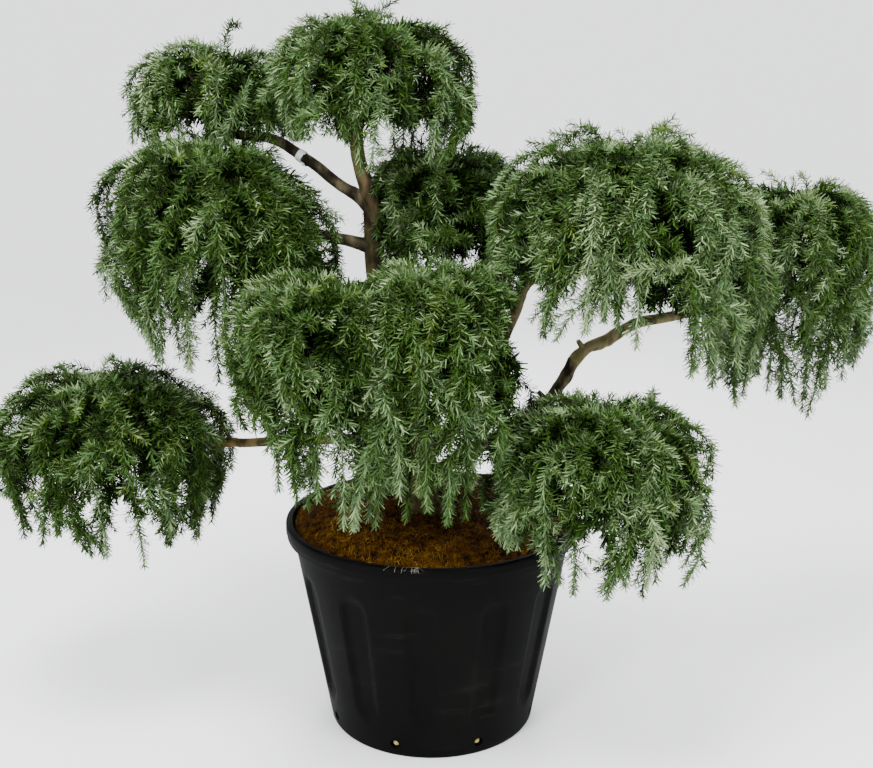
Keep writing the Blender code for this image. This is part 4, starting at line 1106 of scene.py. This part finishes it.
def needles_on(pad, shoots, rng, tints, bare, scale=1.0, per_metre=NEEDLES_PER_METRE, breadth=1.0):
    """Four corners of every needle, spirally set on the shoots, and its tint."""
    lengths = np.maximum(0, shoots.lengths - bare)
    counts = np.round(lengths * per_metre).astype(int)
    shoot = np.repeat(np.arange(len(counts)), counts)
    if not len(shoot):
        return np.empty((0, 4, 3)), np.empty(0, int)
    number = np.arange(len(shoot)) - np.repeat(np.cumsum(counts) - counts, counts)
    share = (number + rng.uniform(0, 1, len(shoot))) / counts[shoot]
    point, along = shoots.at(shoot, bare + share * lengths[shoot])
    across, other = across_and_other(along)
    turn = GOLDEN_ANGLE * number + rng.normal(0, 0.25, len(shoot)) + 2.1 * shoot
    radial = across * np.cos(turn)[:, None] + other * np.sin(turn)[:, None]
    lean = ROOT_ANGLE + (TIP_ANGLE - ROOT_ANGLE) * share ** 1.5 + rng.normal(0, 0.13, len(shoot))
    direction = along * np.cos(lean)[:, None] + radial * np.sin(lean)[:, None]
    from_tip = (1 - share) * lengths[shoot]
    size = NEEDLE_LENGTH * scale * rng.uniform(*NEEDLE_LENGTH_RANGE, len(shoot))
    tip_gain = 0.68 + 0.32 * np.minimum(1, from_tip / SHORT_NEEDLES_AT_TIP)
    size *= tip_gain * (0.75 + 0.25 * np.minimum(1, share / SHORT_NEEDLES_AT_ROOT))
    flat = unit(np.cross(direction, radial))
    thick = np.cross(flat, direction)
    roll = rng.normal(0, NEEDLE_ROLL, len(shoot))[:, None]
    broad = scale * breadth * rng.uniform(*NEEDLE_WIDTH_RANGE, len(shoot))[:, None] / 2
    root_wide = (flat * np.cos(roll) + thick * np.sin(roll)) * broad * NEEDLE_ROOT_WIDTH
    tip_roll = roll + NEEDLE_TWIST
    tip_wide = (flat * np.cos(tip_roll) + thick * np.sin(tip_roll)) * broad * NEEDLE_TIP_WIDTH
    root = point + radial * TWIG_SKIN
    tip = root + direction * size[:, None]
    corners = np.stack([root - root_wide, root + root_wide, tip + tip_wide, tip - tip_wide], axis=1)
    # Painted light and shade: needles that face up and out of the pad, and those towards the shoot's tip,
    # step to a lighter tint, and those that face in step to a darker one
    outward, _, _ = shell_place(pad, point)
    facing = np.einsum("ij,ij->i", radial, outward) * 0.7 + radial[:, 2] * 0.5 + 0.45 * (share - 0.5)
    facing += rng.normal(0, 0.30, len(shoot))
    tint = tints[shoot]
    shaded = np.where(facing < PAINTED_SHADE_FACING, DARKER[tint], tint)
    tint = np.where(facing > PAINTED_LIGHT_FACING, LIGHTER[tint], shaded)
    return corners, np.where(facing > PAINTED_HIGHLIGHT_FACING, LIGHTER[tint], tint)


def inner_needles(pad, shoots, rng, share, first, second):
    """Broad needles inside the pad: the first tint on about a share of the shoots, else the second."""
    chosen = rng.uniform(0, 1, len(shoots.kept)) < share
    tints = np.where(chosen, TINT_NAMES.index(first), TINT_NAMES.index(second))
    return needles_on(pad, shoots, rng, tints, 0.0, INNER_NEEDLE_SCALE, INNER_NEEDLES_PER_METRE,
                      INNER_NEEDLE_BREADTH)


def twig_tubes(shoots, rings, root_radius, tip_radius):
    """Thin three-sided twigs along the shoots, with the same number of rings on each."""
    count = len(shoots.kept)
    shares = np.linspace(0, 1, rings)
    shoot = np.repeat(np.arange(count), rings)
    point, along = shoots.at(shoot, np.tile(shares, count) * shoots.lengths[shoot])
    radii = np.tile(root_radius + (tip_radius - root_radius) * shares, count)
    spokes = spokes_round(*across_and_other(along), 3)
    points = (point[:, None] + spokes * radii[:, None, None]).reshape(-1, 3)
    first = (np.arange(count) * rings * 3)[:, None, None]
    return points, (grid_faces(rings, 3)[None] + first).reshape(-1, 4)


def curve_shoots(starts, overs, ends):
    """Shoots on quadratic curves, cut into whole steps."""
    t = np.linspace(0, 1, 24)[None, :, None]
    lines = []
    for curve in bent(starts[:, None], overs[:, None], ends[:, None], t):
        length = walked(curve)[-1]
        lines.append(resampled(curve, np.linspace(0, length, max(2, math.ceil(length / STEP)) + 1)))
    return shoots_on(lines)


def bough_end(pad):
    """Where the stems of a pad leave its bough, or the trunk's tip for the top pad."""
    if pad.hub:
        return np.array((*pad.centre, pad.hub))
    top = TRUNK_LINE[-1][1]
    return np.array((trunk_x(top), 0, top))


def stems_of(pad, tip):
    """One stem for each sector, from its place on the bough's end into the dome."""
    middle = math.radians(pad.turn) + math.tau * (np.arange(pad.sectors) + 0.5) / pad.sectors
    outward = np.stack([np.cos(middle), np.sin(middle), 0 * middle], axis=-1)
    roots = tip + outward * STEM_CIRCLE - UP * 0.003
    goals = pad_point(pad, middle, STEM_GOAL_RISE, CORE_MIDDLE)
    overs = roots + UP * STEM_UPRIGHT * (goals[:, 2:3] - roots[:, 2:3])
    return curve_shoots(roots, overs, goals)


def feeders(pad, rng, stems, starts):
    """Bare twigs inside the pad, from the nearest stem to the start of each main shoot."""
    angle = np.arctan2(starts[:, 1] - pad.centre[1], starts[:, 0] - pad.centre[0])
    sector = np.floor((angle - math.radians(pad.turn)) % math.tau / (math.tau / pad.sectors)).astype(int)
    sector = sector.clip(0, pad.sectors - 1)
    place = rng.uniform(0.35, 0.95, len(starts)) * stems.lengths[sector]
    roots, along = stems.at(sector, place)
    overs = roots + along * 0.05 + (starts - roots) * 0.35
    return curve_shoots(roots, overs, starts)


def make_needles(pad, nodes, needles, paints):
    """All needles of a pad, as one piece for each tint."""
    corners = np.concatenate([corners for corners, _ in needles])
    tints = np.concatenate([tint for _, tint in needles])
    for index, name in enumerate(TINT_NAMES):
        chosen = corners[tints == index]
        if len(chosen):
            first = np.arange(len(chosen))[:, None] * 4
            faces = np.concatenate([first + (0, 1, 2), first + (0, 2, 3)])
            piece = piece_from(f"{pad.name}_needles_{name}", chosen.reshape(-1, 3), [faces], [paints[name]],
                               smooth=False)
            dress(piece, "needles", *nodes)


def make_twigs(name, nodes, tubes, paint):
    """Many twigs joined into one piece."""
    offsets = np.cumsum([0] + [len(points) for points, _ in tubes])
    faces = np.vstack([faces + offset for (_, faces), offset in zip(tubes, offsets)])
    dress(piece_from(name, np.vstack([points for points, _ in tubes]), [faces], [paint]), "bark", *nodes)


def make_foliage(pad, number, paints, twig_paint, stem_paint):
    """The stems, shoots and needles of one pad."""
    rng = np.random.default_rng([SEED, 3, number])
    cap_rng = np.random.default_rng([SEED, 4, number])
    tone = LOOKS[pad.name]
    nodes = [f"{pad.name}_{sector + 1}" for sector in range(pad.sectors)]
    limbs = limbs_near(pad)
    tip = bough_end(pad)
    if pad.name in DRAWN:
        centre, radii, hems = DRAWN[pad.name]
        pad = pad._replace(centre=centre, radii=radii, hems=hems)
    mains, target, hem_share = shell_shoots(pad, rng, limbs, MAIN_SHOOTS, 1.0)
    long_enough = mains.kept >= LEAST_MAIN_STEPS
    mains = mains.pick(long_enough)
    sides, owner = side_shoots(pad, rng, mains, target[long_enough], hem_share[long_enough], limbs)
    height = ((mains.paths[:, 3, 2] - pad.shoulder) / (pad.top - pad.shoulder)).clip(0, 1)
    main_tints = draw_tints(rng, tint_weights(tone, height))
    own_tints = draw_tints(rng, tint_weights(tone, height[owner]))
    side_tints = np.where(rng.uniform(0, 1, len(owner)) < SAME_TINT_SHARE, main_tints[owner], own_tints)
    tops = top_shoots(pad, rng, limbs)
    top_tints = draw_tints(rng, tint_weights(tone, np.ones(len(tops.kept))))
    needles = [
        needles_on(pad, mains, rng, main_tints, BARE_ROOT, 1.0, MAIN_NEEDLES_PER_METRE),
        needles_on(pad, sides, rng, side_tints, 0.0),
        needles_on(pad, tops, rng, top_tints, 0.0),
    ]
    # Painted shade: broad needles in the deep and shade tints on the shoots that stay inside the pad
    inner, _, _ = shell_shoots(pad, rng, limbs, INNER_SHOOTS, tone.inner_hem)
    inner = inner.pick(inner.kept >= LEAST_STEPS)
    needles.append(inner_needles(pad, inner, rng, INNER_DEEP_SHARE, "deep", "shade"))
    # Partly painted shade: the shoots that close the dome carry the deep tint on about half of them as shade
    # under its top, and the mid green on the rest
    caps = cap_shoots(pad, cap_rng, limbs)
    needles.append(inner_needles(pad, caps, cap_rng, CAP_DEEP_SHARE, "deep", "mid"))
    stems = stems_of(pad, tip)
    bare = feeders(pad, rng, stems, mains.paths[:, 0])
    kinds = {"main": mains, "side": sides, "top": tops, "cap": caps}
    leaders = leader_shoots(pad)
    if leaders:
        leader_tints = np.full(len(leaders.kept), TINT_NAMES.index("mid"))
        needles.append(needles_on(pad, leaders, rng, leader_tints, 0.0, LEADER_NEEDLE_SCALE))
        kinds["leader"] = leaders
    make_needles(pad, nodes, needles, paints)
    green = [twig_tubes(shoots, *TWIGS[kind]) for kind, shoots in kinds.items()]
    make_twigs(pad.name + "_twigs", nodes, green, twig_paint)
    wood = [twig_tubes(stems, *TWIGS["stem"]), twig_tubes(bare, *TWIGS["feeder"])]
    make_twigs(pad.name + "_stems", nodes, wood, stem_paint)


# Pot and soil

def pot_wall_radius(height):
    return POT_BASE_RADIUS + (POT_TOP_RADIUS - POT_BASE_RADIUS) * height / POT_HEIGHT


def pot_inner_radius(height):
    """The inside is plain: it passes behind the flutes, then widens to the lip."""
    level = np.minimum(height, FLUTE_TOP)
    behind_flutes = pot_wall_radius(level) - WALL_THICKNESS - FLUTE_DEPTH
    share = (height - level) / (POT_HEIGHT - FLUTE_TOP)
    return behind_flutes + (LIP_RADIUS - LIP_WIDTH - behind_flutes) * share


def flute_recess(angle, height):
    """How deep the wall is set back: flat-bottomed flutes with rolled edges and arched tops."""
    pitch = math.tau / FLUTES
    off = (angle - FLUTE_TURN + pitch / 2) % pitch - pitch / 2
    half_width = FLUTE_HALF_ANGLE * pot_wall_radius(height)
    across = np.abs(off) * pot_wall_radius(height)
    arch = FLUTE_TOP - half_width
    above = np.maximum(0, height - arch)
    below = np.maximum(0, FLUTE_BOTTOM + 0.02 - height)
    reach = np.hypot(across, above)
    inside = np.minimum(half_width - reach, (half_width - across) - below * 0.6)
    share = np.clip(inside / FLUTE_EDGE, 0, 1)
    foot = np.clip((height - FLUTE_BOTTOM + 0.02) / 0.06, 0, 1)
    return FLUTE_DEPTH * share * share * (3 - 2 * share) * foot * foot * (3 - 2 * foot)


def make_pot(paint):
    """The pot's shell: fluted wall, stepped and rounded lip, plain inside, drained foot."""
    sides = FLUTES * SIDES_PER_FLUTE
    angles = math.tau * np.arange(sides) / sides
    lip_low = POT_HEIGHT - LIP_HEIGHT
    collar = pot_wall_radius(lip_low)
    foot = [(POT_BASE_RADIUS - 0.012, 0.0), (POT_BASE_RADIUS - FOOT_CHAMFER, 0.0),
            (POT_BASE_RADIUS - 0.0012, 0.0012), (pot_wall_radius(FOOT_CHAMFER), FOOT_CHAMFER)]
    step = [(collar - 0.0002, lip_low - 0.006), (collar + 0.0010, lip_low - 0.0015)]
    lip = [(LIP_RADIUS - back, lip_low + rise) for back, rise in LIP_OUTSIDE]
    edge = [(LIP_RADIUS - back, POT_HEIGHT - down) for back, down in LIP_EDGE]
    edge += [(LIP_RADIUS - LIP_WIDTH + out, POT_HEIGHT - down) for out, down in LIP_INNER_EDGE]
    inside = [(pot_inner_radius(z), z) for z in (0.462, 0.430, FLUTE_TOP, 0.20, 0.030, FLOOR_THICKNESS)]
    rings = [circle(radius, angles, z) for radius, z in foot]
    for z in np.linspace(WALL_ROOM, lip_low - WALL_ROOM, WALL_RINGS):
        rings.append(circle(pot_wall_radius(z) - flute_recess(angles, z), angles, z))
    rings += [circle(radius, angles, z) for radius, z in step + lip + edge + inside]
    shell = capped_tube("pot_shell", np.array(rings), paint)
    cut_holes(shell)
    shell.data.set_sharp_from_angle(angle=math.radians(48))
    dress(shell, "pot_plastic", "pot")


def drain_direction(hole):
    """From the pot's middle to a drain hole."""
    angle = DRAIN_TURN + math.tau * (hole + 0.5) / DRAIN_HOLES
    return np.array((math.cos(angle), math.sin(angle), 0))


def cut_holes(shell):
    """Round drain holes through the foot of the wall."""
    cutter = bmesh.new()
    for hole in range(DRAIN_HOLES):
        outward = Vector(drain_direction(hole))
        turned = outward.to_track_quat("Z", "Y").to_matrix().to_4x4()
        turned.translation = outward * (pot_wall_radius(DRAIN_HEIGHT) - 0.010) + Vector((0, 0, DRAIN_HEIGHT))
        bmesh.ops.create_cone(cutter, cap_ends=True, segments=20, radius1=DRAIN_RADIUS,
                              radius2=DRAIN_RADIUS * 1.08, depth=DRAIN_CUT_DEPTH, matrix=turned)
    mesh = bpy.data.meshes.new("hole_cutter")
    cutter.to_mesh(mesh)
    cutter.free()
    holes = placed("hole_cutter", mesh)
    change = shell.modifiers.new("holes", "BOOLEAN")
    change.operation = "DIFFERENCE"
    change.object = holes
    graph = bpy.context.evaluated_depsgraph_get()
    result = bpy.data.meshes.new_from_object(shell.evaluated_get(graph))
    shell.modifiers.clear()
    shell.data = result
    bpy.data.objects.remove(holes)


def soil_level(x, y):
    """Height of the soil's top: flat round the trunk, then falling to the pot's wall."""
    x, y = np.asarray(x, float), np.asarray(y, float)
    edge = pot_inner_radius(SOIL_EDGE_HEIGHT)
    shoulder = edge * GROUND_SHOULDER_SHARE
    radius = np.hypot(x, y)
    safe = np.maximum(radius, 1e-6)
    sx, sy = x / safe * shoulder, y / safe * shoulder
    share = 1 - GROUND_SHOULDER_SHARE ** 2
    level = SOIL_EDGE_HEIGHT + (GROUND - SOIL_EDGE_HEIGHT) * min(1, SOIL_STEEPNESS * share)
    top = level + SOIL_HEAP * share * (1 + SOIL_HEAP_LEAN * (sy - sx) / edge)
    inner = np.clip((radius - GROUND_FLAT_RADIUS) / (shoulder - GROUND_FLAT_RADIUS), 0, 1)
    outer = np.clip((radius - shoulder) / (edge - shoulder), 0, 1)
    smooth = inner * inner * (3 - 2 * inner)
    return GROUND + (top - GROUND) * smooth + (SOIL_EDGE_HEIGHT - top) * outer ** 1.5


def soil_bumps(x, y):
    rough = noise.fractal((x * 34, y * 34, 2.0), 0.7, 2.1, 5)
    tufts = noise.noise((x * 95, y * 95, 7.0))
    return 0.0042 * rough + 0.0022 * tufts


def make_soil(paint):
    """A closed body of soil with a crumbly top."""
    angles = math.tau * np.arange(SOIL_SIDES) / SOIL_SIDES
    edge = pot_inner_radius(SOIL_EDGE_HEIGHT) - SOIL_GAP
    rings = []
    for share in np.linspace(0.012, 1, SOIL_RINGS):
        x, y = edge * share * np.cos(angles), edge * share * np.sin(angles)
        bumps = np.array([soil_bumps(a, b) for a, b in zip(x, y)]) * min(1, (1 - share) * 12 + 0.2)
        rings.append(np.stack([x, y, soil_level(x, y) + bumps], axis=-1))
    for z in (0.44, FLUTE_TOP, 0.2, FLOOR_THICKNESS + SOIL_GAP):
        rings.append(circle(pot_inner_radius(z) - SOIL_GAP, angles, z))
    dress(capped_tube("soil_body", np.array(rings)[::-1], paint), "soil_fibre", "soil")


def make_ribbons(name, lines, half_widths, paint):
    """Flat strips along lines of points, each widened both ways."""
    count, points = lines.shape[:2]
    corners = np.stack([lines - half_widths, lines + half_widths], axis=2).reshape(-1, 3)
    strip = np.array([(2 * k, 2 * k + 1, 2 * k + 3, 2 * k + 2) for k in range(points - 1)])
    faces = (strip[None] + (np.arange(count) * points * 2)[:, None, None]).reshape(-1, 4)
    dress(piece_from(name, corners, [faces], [paint], smooth=False), "soil_fibre", "soil")


def make_fibres():
    """Loose curled fibres on the soil, darker in the middle and golden towards the front edge."""
    rng = np.random.default_rng([SEED, 4])
    edge = pot_inner_radius(SOIL_EDGE_HEIGHT) - 0.004
    radius = edge * np.sqrt(rng.uniform(0, 1, FIBRE_COUNT))
    angle = rng.uniform(0, math.tau, FIBRE_COUNT)
    x, y = radius * np.cos(angle), radius * np.sin(angle)
    patch = np.array([noise.noise((a * 17, b * 17, 4.0)) + 0.5 * noise.noise((a * 60, b * 60, 8.0))
                      for a, b in zip(x, y)])
    front = np.clip(-y / edge, -1, 1)
    score = patch * 1.1 + 0.34 * front + 0.25 * (radius / edge) ** 4 + rng.normal(0, 0.28, FIBRE_COUNT)
    kinds = np.digitize(score, FIBRE_SCORES)
    length = rng.uniform(*FIBRE_LENGTHS, FIBRE_COUNT)
    heading = rng.uniform(0, math.tau, FIBRE_COUNT)
    curl = rng.normal(0, FIBRE_CURL, FIBRE_COUNT)
    rise = np.abs(rng.normal(0, 0.0036, FIBRE_COUNT)) + 0.0008
    lines = []
    for share in np.linspace(0, 1, FIBRE_POINTS):
        inside = np.minimum(1, edge / np.maximum(np.hypot(x, y), 1e-6))
        on_x, on_y = x * inside, y * inside
        bumps = np.array([soil_bumps(a, b) for a, b in zip(on_x, on_y)])
        z = soil_level(on_x, on_y) + bumps + rise * math.sin(math.pi * (0.12 + 0.8 * share)) * 2 - 0.0006
        lines.append(np.stack([on_x, on_y, z], axis=-1))
        x = x + np.cos(heading) * length / (FIBRE_POINTS - 1)
        y = y + np.sin(heading) * length / (FIBRE_POINTS - 1)
        heading = heading + curl * length / (FIBRE_POINTS - 1)
    lines = np.stack(lines, axis=1)
    wide = unit(np.cross(unit(np.gradient(lines, axis=1)), UP) + rng.normal(0, 0.5, (FIBRE_COUNT, 1, 3)))
    width = rng.uniform(*FIBRE_HALF_WIDTHS, FIBRE_COUNT)[:, None] * np.array((0.6, 1, 0.9, 0.3))
    half_widths = wide * width[..., None]
    for kind, (name, colour) in enumerate(FIBRES.items()):
        paint = plain_material(name, colour, 0.85, 0.05)
        make_ribbons("soil_" + name, lines[kinds == kind], half_widths[kinds == kind], paint)


def make_lip_fibres():
    """A few pale fibres that hang over the lip at the front left."""
    rng = np.random.default_rng([SEED, 5])
    past_lip = np.array((-0.012, -0.005, 0.0010, 0.0016))
    rise = np.array((0.0004, 0.0010, -0.0030, -0.0095))
    angle = LIP_FIBRE_TURN + rng.uniform(-0.11, 0.09, LIP_FIBRE_COUNT)[:, None]
    angle = angle + rng.normal(0, 0.012, (LIP_FIBRE_COUNT, 1)) * np.arange(4)
    drop = rng.uniform(0.1, 0.9, (LIP_FIBRE_COUNT, 1)) * rise
    lines = circle(LIP_RADIUS + past_lip, angle, POT_HEIGHT + 0.0008 + drop)
    half_widths = np.stack([-np.sin(angle), np.cos(angle), 0 * angle], axis=-1) * LIP_FIBRE_HALF_WIDTH
    make_ribbons("lip_fibres", lines, half_widths, plain_material("pale_fibre", (0.24, 0.23, 0.19), 0.8, 0.1))


def make_drain_fill():
    """Pale roots and grit that show in the drain holes."""
    paint = plain_material("drain_fill", (0.42, 0.33, 0.12), 0.9, 0.1)
    inner = pot_inner_radius(DRAIN_HEIGHT) - 0.003
    depth = np.linspace(0, 1, 7)
    wide = DRAIN_RADIUS * 0.84 * np.sqrt(1 - 0.92 * depth ** 2)
    for hole in range(DRAIN_HOLES):
        outward = drain_direction(hole)
        line = outward * (inner + 0.011 * depth)[:, None] + UP * (DRAIN_HEIGHT - 0.001)
        lumps = np.array([
            [1 + 0.22 * noise.noise((side * 0.9, level * 1.3, hole * 7.0)) for side in range(14)]
            for level in range(7)])
        rings = rings_round(line, outward, wide[:, None] * lumps, 14, UP)
        dress(capped_tube(f"drain_fill_{hole + 1}", rings, paint), "soil_fibre")


# Surroundings

def make_stage():
    """A plain pale studio: a round floor that sweeps up into a wall on all sides."""
    sweep = [(STAGE_RADIUS + STAGE_SWEEP * math.sin(a), STAGE_SWEEP - STAGE_SWEEP * math.cos(a))
             for a in np.linspace(0.12, math.pi / 2, 14)]
    profile = [(0.02, 0.0), (2.0, 0.0), (STAGE_RADIUS, 0.0), *sweep]
    profile.append((STAGE_RADIUS + STAGE_SWEEP, STAGE_HEIGHT))
    angles = math.tau * np.arange(STAGE_SIDES) / STAGE_SIDES
    points = np.vstack([circle(radius, angles, z) for radius, z in profile] + [(0, 0, 0)])
    quads = grid_faces(len(profile), STAGE_SIDES)[:, ::-1]
    centre = fan_faces(0, STAGE_SIDES, len(points) - 1, True)
    paint = plain_material("studio_white", (0.90, 0.90, 0.90), 0.75)
    piece_from("studio", points, [quads, centre], [paint])


def area_light(name, place, target, size, power, colour=(1, 1, 1)):
    """A soft round lamp that faces a target."""
    lamp = bpy.data.lights.new(name, "AREA")
    lamp.shape = "DISK"
    lamp.size = size
    lamp.energy = power
    lamp.color = colour
    thing = placed(name, lamp)
    thing.location = place
    thing.rotation_euler = (Vector(target) - Vector(place)).to_track_quat("-Z", "Y").to_euler()


def make_lights():
    area_light("overhead", (-0.5, -1.3, 3.9), (0, 0, 0.9), 1.6, 210)
    area_light("front_left", (-2.2, -3.6, 2.6), (-0.1, 0, 0.9), 1.2, 150, (0.97, 0.985, 1.0))
    area_light("front_right", (2.9, -2.8, 2.4), (0.2, 0, 0.9), 1.6, 90)
    area_light("back", (0.4, 3.6, 3.3), (0, 0, 1.0), 2.0, 120)
    world = bpy.data.worlds.new("studio_air")
    world.use_nodes = True
    background = world.node_tree.nodes["Background"]
    background.inputs["Color"].default_value = (0.96, 0.98, 1.0, 1)
    background.inputs["Strength"].default_value = 1.9
    bpy.context.scene.world = world


def make_camera():
    lens = bpy.data.cameras.new("camera")
    lens.lens = CAMERA_LENS
    lens.sensor_width = SENSOR_WIDTH
    lens.clip_end = 60
    camera = placed("camera", lens)
    camera.location = CAMERA_PLACE
    camera.rotation_euler = (math.pi / 2 + CAMERA_PITCH, 0, 0)
    bpy.context.scene.camera = camera


def main():
    make_camera()
    make_lights()
    make_stage()
    # Below 1.12 m, under the pads, the trunk takes the darker moss_and_shade colours: partly moss and partly
    # painted shade
    make_trunk(bark_material("trunk_bark", BARKS["warm"], 0.85, BARKS["moss_and_shade"], (1.12, 1.24)))
    bark = bark_material("bough_bark", BARKS["dark"], 0.85)
    dark_from = (0.77, 0.84)
    barks = {
        "crown_right": bark_material("brown_bough_bark", BARKS["buff"], 0.85),
        "crown_far_right": bark_material("kinked_bough_bark", BARKS["buff"], 0.8, BARKS["dark"], dark_from),
        "crown_lower_left": bark_material("young_bark", BARKS["young"], 0.75),
    }
    cut_wood = plain_material("cut_wood", (0.32, 0.21, 0.11), 0.8)
    for number, pad in enumerate(PADS):
        if pad.name in BOUGHS:
            make_bough(BOUGHS[pad.name], pad, number, barks.get(pad.name, bark), cut_wood)
    make_pot(pot_material())
    make_soil(soil_material())
    make_fibres()
    make_lip_fibres()
    make_drain_fill()
    paints = {name: plain_material("needles_" + name, colour, 0.5, SHINES[name])
              for name, colour in TINTS.items()}
    twig_paint = plain_material("young_twig", (0.070, 0.064, 0.020), 0.7)
    stem_paint = plain_material("old_twig", (0.030, 0.021, 0.012), 0.85)
    for number, pad in enumerate(PADS):
        make_foliage(pad, number, paints, twig_paint, stem_paint)


main()
